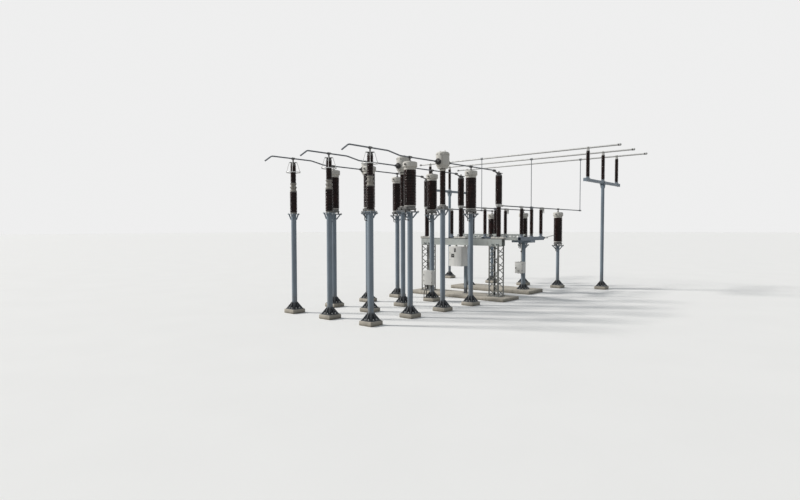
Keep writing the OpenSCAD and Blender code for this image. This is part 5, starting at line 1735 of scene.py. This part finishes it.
@dataclass
class JunctionBox(Maker):
    """Hinge sleeves, latches, band bolts and glands of the junction box."""

    door_inset: float = 0.015
    side: float = 0.008
    knuckle: float = 0.036
    lug: float = 0.016
    sleeve: Numbers = (0.0081, 0.0092)
    sleeve_gap: float = 0.002
    sleeve_edge: float = 0.0003
    hinge_cap: Numbers = (0.0088, 0.003, 20)
    hinge_shares: Numbers = (0.14, 0.86)
    latch: Numbers = (0.021, 0.0035)
    latch_shares: Numbers = (0.30, 0.72)
    latch_inset: float = 0.040
    hood: Numbers = (0.172, 0.006, 0.002)
    hood_room: float = 0.006
    hood_x: float = 0.1083
    gland_nut: Numbers = (0.014, 0.024, 6, 0.002)
    gland_sleeve: Numbers = (0.024, 0.0175, 14, 0.002)
    hose_ring: Numbers = (0.0125, 0.022, 0.012, 20, 0.003)
    band_inset: float = 0.105
    band_x: float = 0.0425
    band_y: float = 0.050

    def build(self) -> None:
        """Makes the sleeves and latch covers on the door, and the fittings on the box."""
        place = self.layout
        low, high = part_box("junction_box_door")
        box_low, box_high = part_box("junction_box")
        height = high.z - low.z
        hinge = at(low.x + self.door_inset, box_low.y + self.side)
        first, last = self.hinge_shares
        levels = (low.z + first * height, low.z + last * height - self.knuckle)
        sleeve = washer(*self.sleeve, self.knuckle - 2 * self.sleeve_gap, 20, self.sleeve_edge)
        sleeves = Form().add(sleeve, *(hinge @ at(z=z + self.sleeve_gap) for z in levels))
        latch_y = high.y - box_low.y - self.side - self.latch_inset
        sleeves.add(disc(*self.latch), *(hinge @ at(0.0, latch_y, low.z + share * height, Axis.BACK)
                                         for share in self.latch_shares))
        self.make("box_door_furniture", DARK_TERMINAL, sleeves, body=Body.BOX_DOOR)
        self.make("box_hinge_caps", DARK_TERMINAL, disc(*self.hinge_cap),
                  [hinge @ at(z=z + self.knuckle + self.lug) for z in levels])
        length, thickness, edge = self.hood
        hood = Form.block(length, high.y - box_low.y - self.hood_room, thickness, edge)
        middle_y = 0.5 * (high.y + box_low.y + self.side)
        self.make("box_hood", CABINET, hood, [at(box_low.x + self.hood_x, middle_y, box_high.z)])
        x = place.metering_x - HOSE_REACH
        glands = Form().add(gland(self.gland_nut, self.gland_sleeve),
                            *(at(x, upper, low.z, Axis.DOWN) for upper, _ in HOSES))
        glands.add(washer(*self.hose_ring), *(at(x, lower, place.plinth_top) for _, lower in HOSES))
        self.make("box_glands", DARK_TERMINAL, glands)
        bolts = Form().nuts(0.014, (at(place.metering_x - self.band_x, y, z, Axis.X)
                                    for y in (-self.band_y, self.band_y)
                                    for z in (low.z + self.band_inset, high.z - self.band_inset)))
        self.make("box_band_bolts", ZINC, bolts)


@dataclass
class Conduits(Maker):
    """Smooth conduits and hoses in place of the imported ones."""

    radius: float = 0.011
    hose_radius: float = 0.013
    sides: int = 12
    bend: float = 0.080
    drop: float = 0.210
    start: float = -0.190
    start_rise: float = 0.058
    isolator_start: float = -0.184
    isolator_drop: float = 0.080
    column_radii: Numbers = (0.0725, 0.0625, 0.080)
    overlap: float = 0.002
    grommet: Numbers = (0.0112, 0.019, 0.010, 16, 0.002)
    grommet_overlap: float = 0.001
    straight: float = 0.10
    curve: float = 0.17
    lean: float = 0.1

    def hose(self, upper: float, lower: float) -> Form:
        """Hose in a long S from the junction box down to the plinth.

        Args:
            upper: Its upper end along Y.
            lower: Its lower end along Y.

        Returns:
            The hose.
        """
        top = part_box("junction_box_door")[0].z
        foot = self.layout.plinth_top
        lean = self.lean * (lower - upper)
        points = [(upper, top), (upper, top - self.straight), (upper + lean, top - self.curve),
                  (lower - lean, foot + self.curve), (lower, foot + self.straight), (lower, foot)]
        x = self.layout.metering_x - HOSE_REACH
        return Form.pipe([(x, y, z) for y, z in points], self.hose_radius, self.sides)

    def build(self) -> None:
        """Makes the conduits of every transformer and isolator column, their grommets and the hoses."""
        spots = self.layout.transformers()
        wide, slim, isolator = self.column_radii
        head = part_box("isolator_columns")[1].z - self.isolator_drop
        conduits = Form()
        grommets = Form()
        for column, start, rise, rows in (
                (wide, self.start, self.start_rise, spots[:6]),
                (slim, self.start, self.start_rise, spots[6:]),
                (isolator, self.isolator_start, 0.0, self.layout.isolator_columns(head, -90.0))):
            route = [(start, 0.0, rise), (start, 0.0, -self.drop), (self.overlap - column, 0.0, -self.drop)]
            conduits.add(Form.pipe(route, self.radius, self.sides, self.bend), *rows)
            wall = at(self.grommet_overlap - column, 0.0, -self.drop, Axis.BACK)
            grommets.add(washer(*self.grommet), *(spot @ wall for spot in rows))
        for upper, lower in HOSES:
            conduits.add(self.hose(upper, lower), at())
        self.make("conduits", CONDUIT, conduits, replaces=["cable_conduits"])
        self.make("conduit_grommets", DARK_TERMINAL, grommets)


@dataclass
class Studio:
    """Pale floor, soft light from the left and the camera."""

    eye: Point = (-15.19, -10.42, 2.36)
    heading: float = 41.08
    pitch: float = -2.34
    roll: float = -0.15
    lens: float = 23.57
    floor_size: float = 600.0
    floor_drop: float = 0.002
    floor_colour: Colour = (0.86, 0.86, 0.85)
    floor_bounce: Colour = (0.34, 0.325, 0.30)
    background: Colour = (0.86, 0.86, 0.86)
    world_colour: Colour = (0.88, 0.94, 1.0)
    world_light: float = 0.36
    sun_colour: Colour = (1.0, 0.97, 0.93)
    sun_light: float = 3.1
    sun_spread: float = 9.0
    sun_heading: float = 124.0
    sun_rise: float = 38.0

    def stand(self, name: str, data: bpy.types.ID) -> bpy.types.Object:
        """Puts an object in the scene.

        Args:
            name: Name of the object.
            data: Its mesh, light or camera.

        Returns:
            The object.
        """
        thing = bpy.data.objects.new(name, data)
        bpy.context.scene.collection.objects.link(thing)
        return thing

    def floor(self) -> None:
        """Lays the floor under the plinths, pale to the eye and duller in the light that it throws back."""
        form = bmesh.new()
        bmesh.ops.create_grid(form, x_segments=2, y_segments=2, size=self.floor_size / 2)
        bmesh.ops.translate(form, vec=(0.0, 0.0, -self.floor_drop), verts=form.verts)
        mesh = bpy.data.meshes.new("studio_floor")
        form.to_mesh(mesh)
        form.free()
        graph = Graph(bpy.data.materials.new("studio_floor"), darker(self.floor_colour, 0.985))
        graph.layer(self.floor_colour, graph.cloud(0.6, 3.0, 0.3, 0.7))
        pale = graph.colour
        graph.colour = self.floor_bounce
        graph.layer(pale, graph.seen())
        mesh.materials.append(graph.finish(0.9))
        floor = self.stand("studio_floor", mesh)

    def light(self) -> None:
        """Sets the sun and the world, which shows its own pale colour to the camera and in gloss."""
        sun = bpy.data.lights.new("studio_sun", "SUN")
        sun.energy = self.sun_light
        sun.color = self.sun_colour
        sun.angle = math.radians(self.sun_spread)
        turn = math.radians(self.sun_heading)
        rise = math.radians(self.sun_rise)
        towards = Vector((math.cos(rise) * math.cos(turn), math.cos(rise) * math.sin(turn), math.sin(rise)))
        self.stand("studio_sun", sun).rotation_euler = towards.to_track_quat("Z", "Y").to_euler()
        world = bpy.data.worlds.new("studio_world")
        bpy.context.scene.world = world
        graph = Graph(world)
        plain = graph.tree.nodes["Background"]
        graph.plug(plain.inputs["Color"], self.world_colour)
        graph.plug(plain.inputs["Strength"], self.world_light)
        shown = graph.node("Background", 0, {"Color": self.background})
        mixed = graph.node("MixShader", 0, {0: graph.seen(), 1: plain.outputs[0], 2: shown})
        graph.plug(graph.tree.nodes["World Output"].inputs["Surface"], mixed)

    def camera(self) -> None:
        """Stands the camera at the eye, aimed along its heading."""
        camera = self.stand("camera", bpy.data.cameras.new("camera"))
        camera.data.lens = self.lens
        camera.data.clip_end = 2.0 * self.floor_size
        aim = at(turn=self.heading - 90.0) @ Matrix.Rotation(math.radians(90.0 + self.pitch), 4, "X")
        camera.matrix_world = Matrix.Translation(self.eye) @ aim @ at(turn=self.roll)
        bpy.context.scene.camera = camera

    def build(self) -> None:
        """Sets up the whole studio."""
        for step in (self.floor, self.light, self.camera):
            step()
        bpy.context.scene.view_settings.view_transform = "Standard"


def main() -> None:
    """Loads the frame, dresses it, adds the fittings and sets up the studio."""
    for leftover in list(bpy.data.objects):
        bpy.data.objects.remove(leftover)
    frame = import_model()
    shop = Paintshop()
    shop.dress(frame["nodes"], frame["record"])
    layout = Layout()
    for sort in (Foundations, Porcelains, Conductors, Fasteners, TubeClamps, VoltageTransformers,
                 CurrentTransformers, Arresters, Breaker, Isolator, Busbars, JunctionBox, Conduits):
        sort(layout, shop).build()
    Studio().build()


if __name__ == "__main__":
    logging.basicConfig(level=logging.INFO, format="%(message)s")
    main()
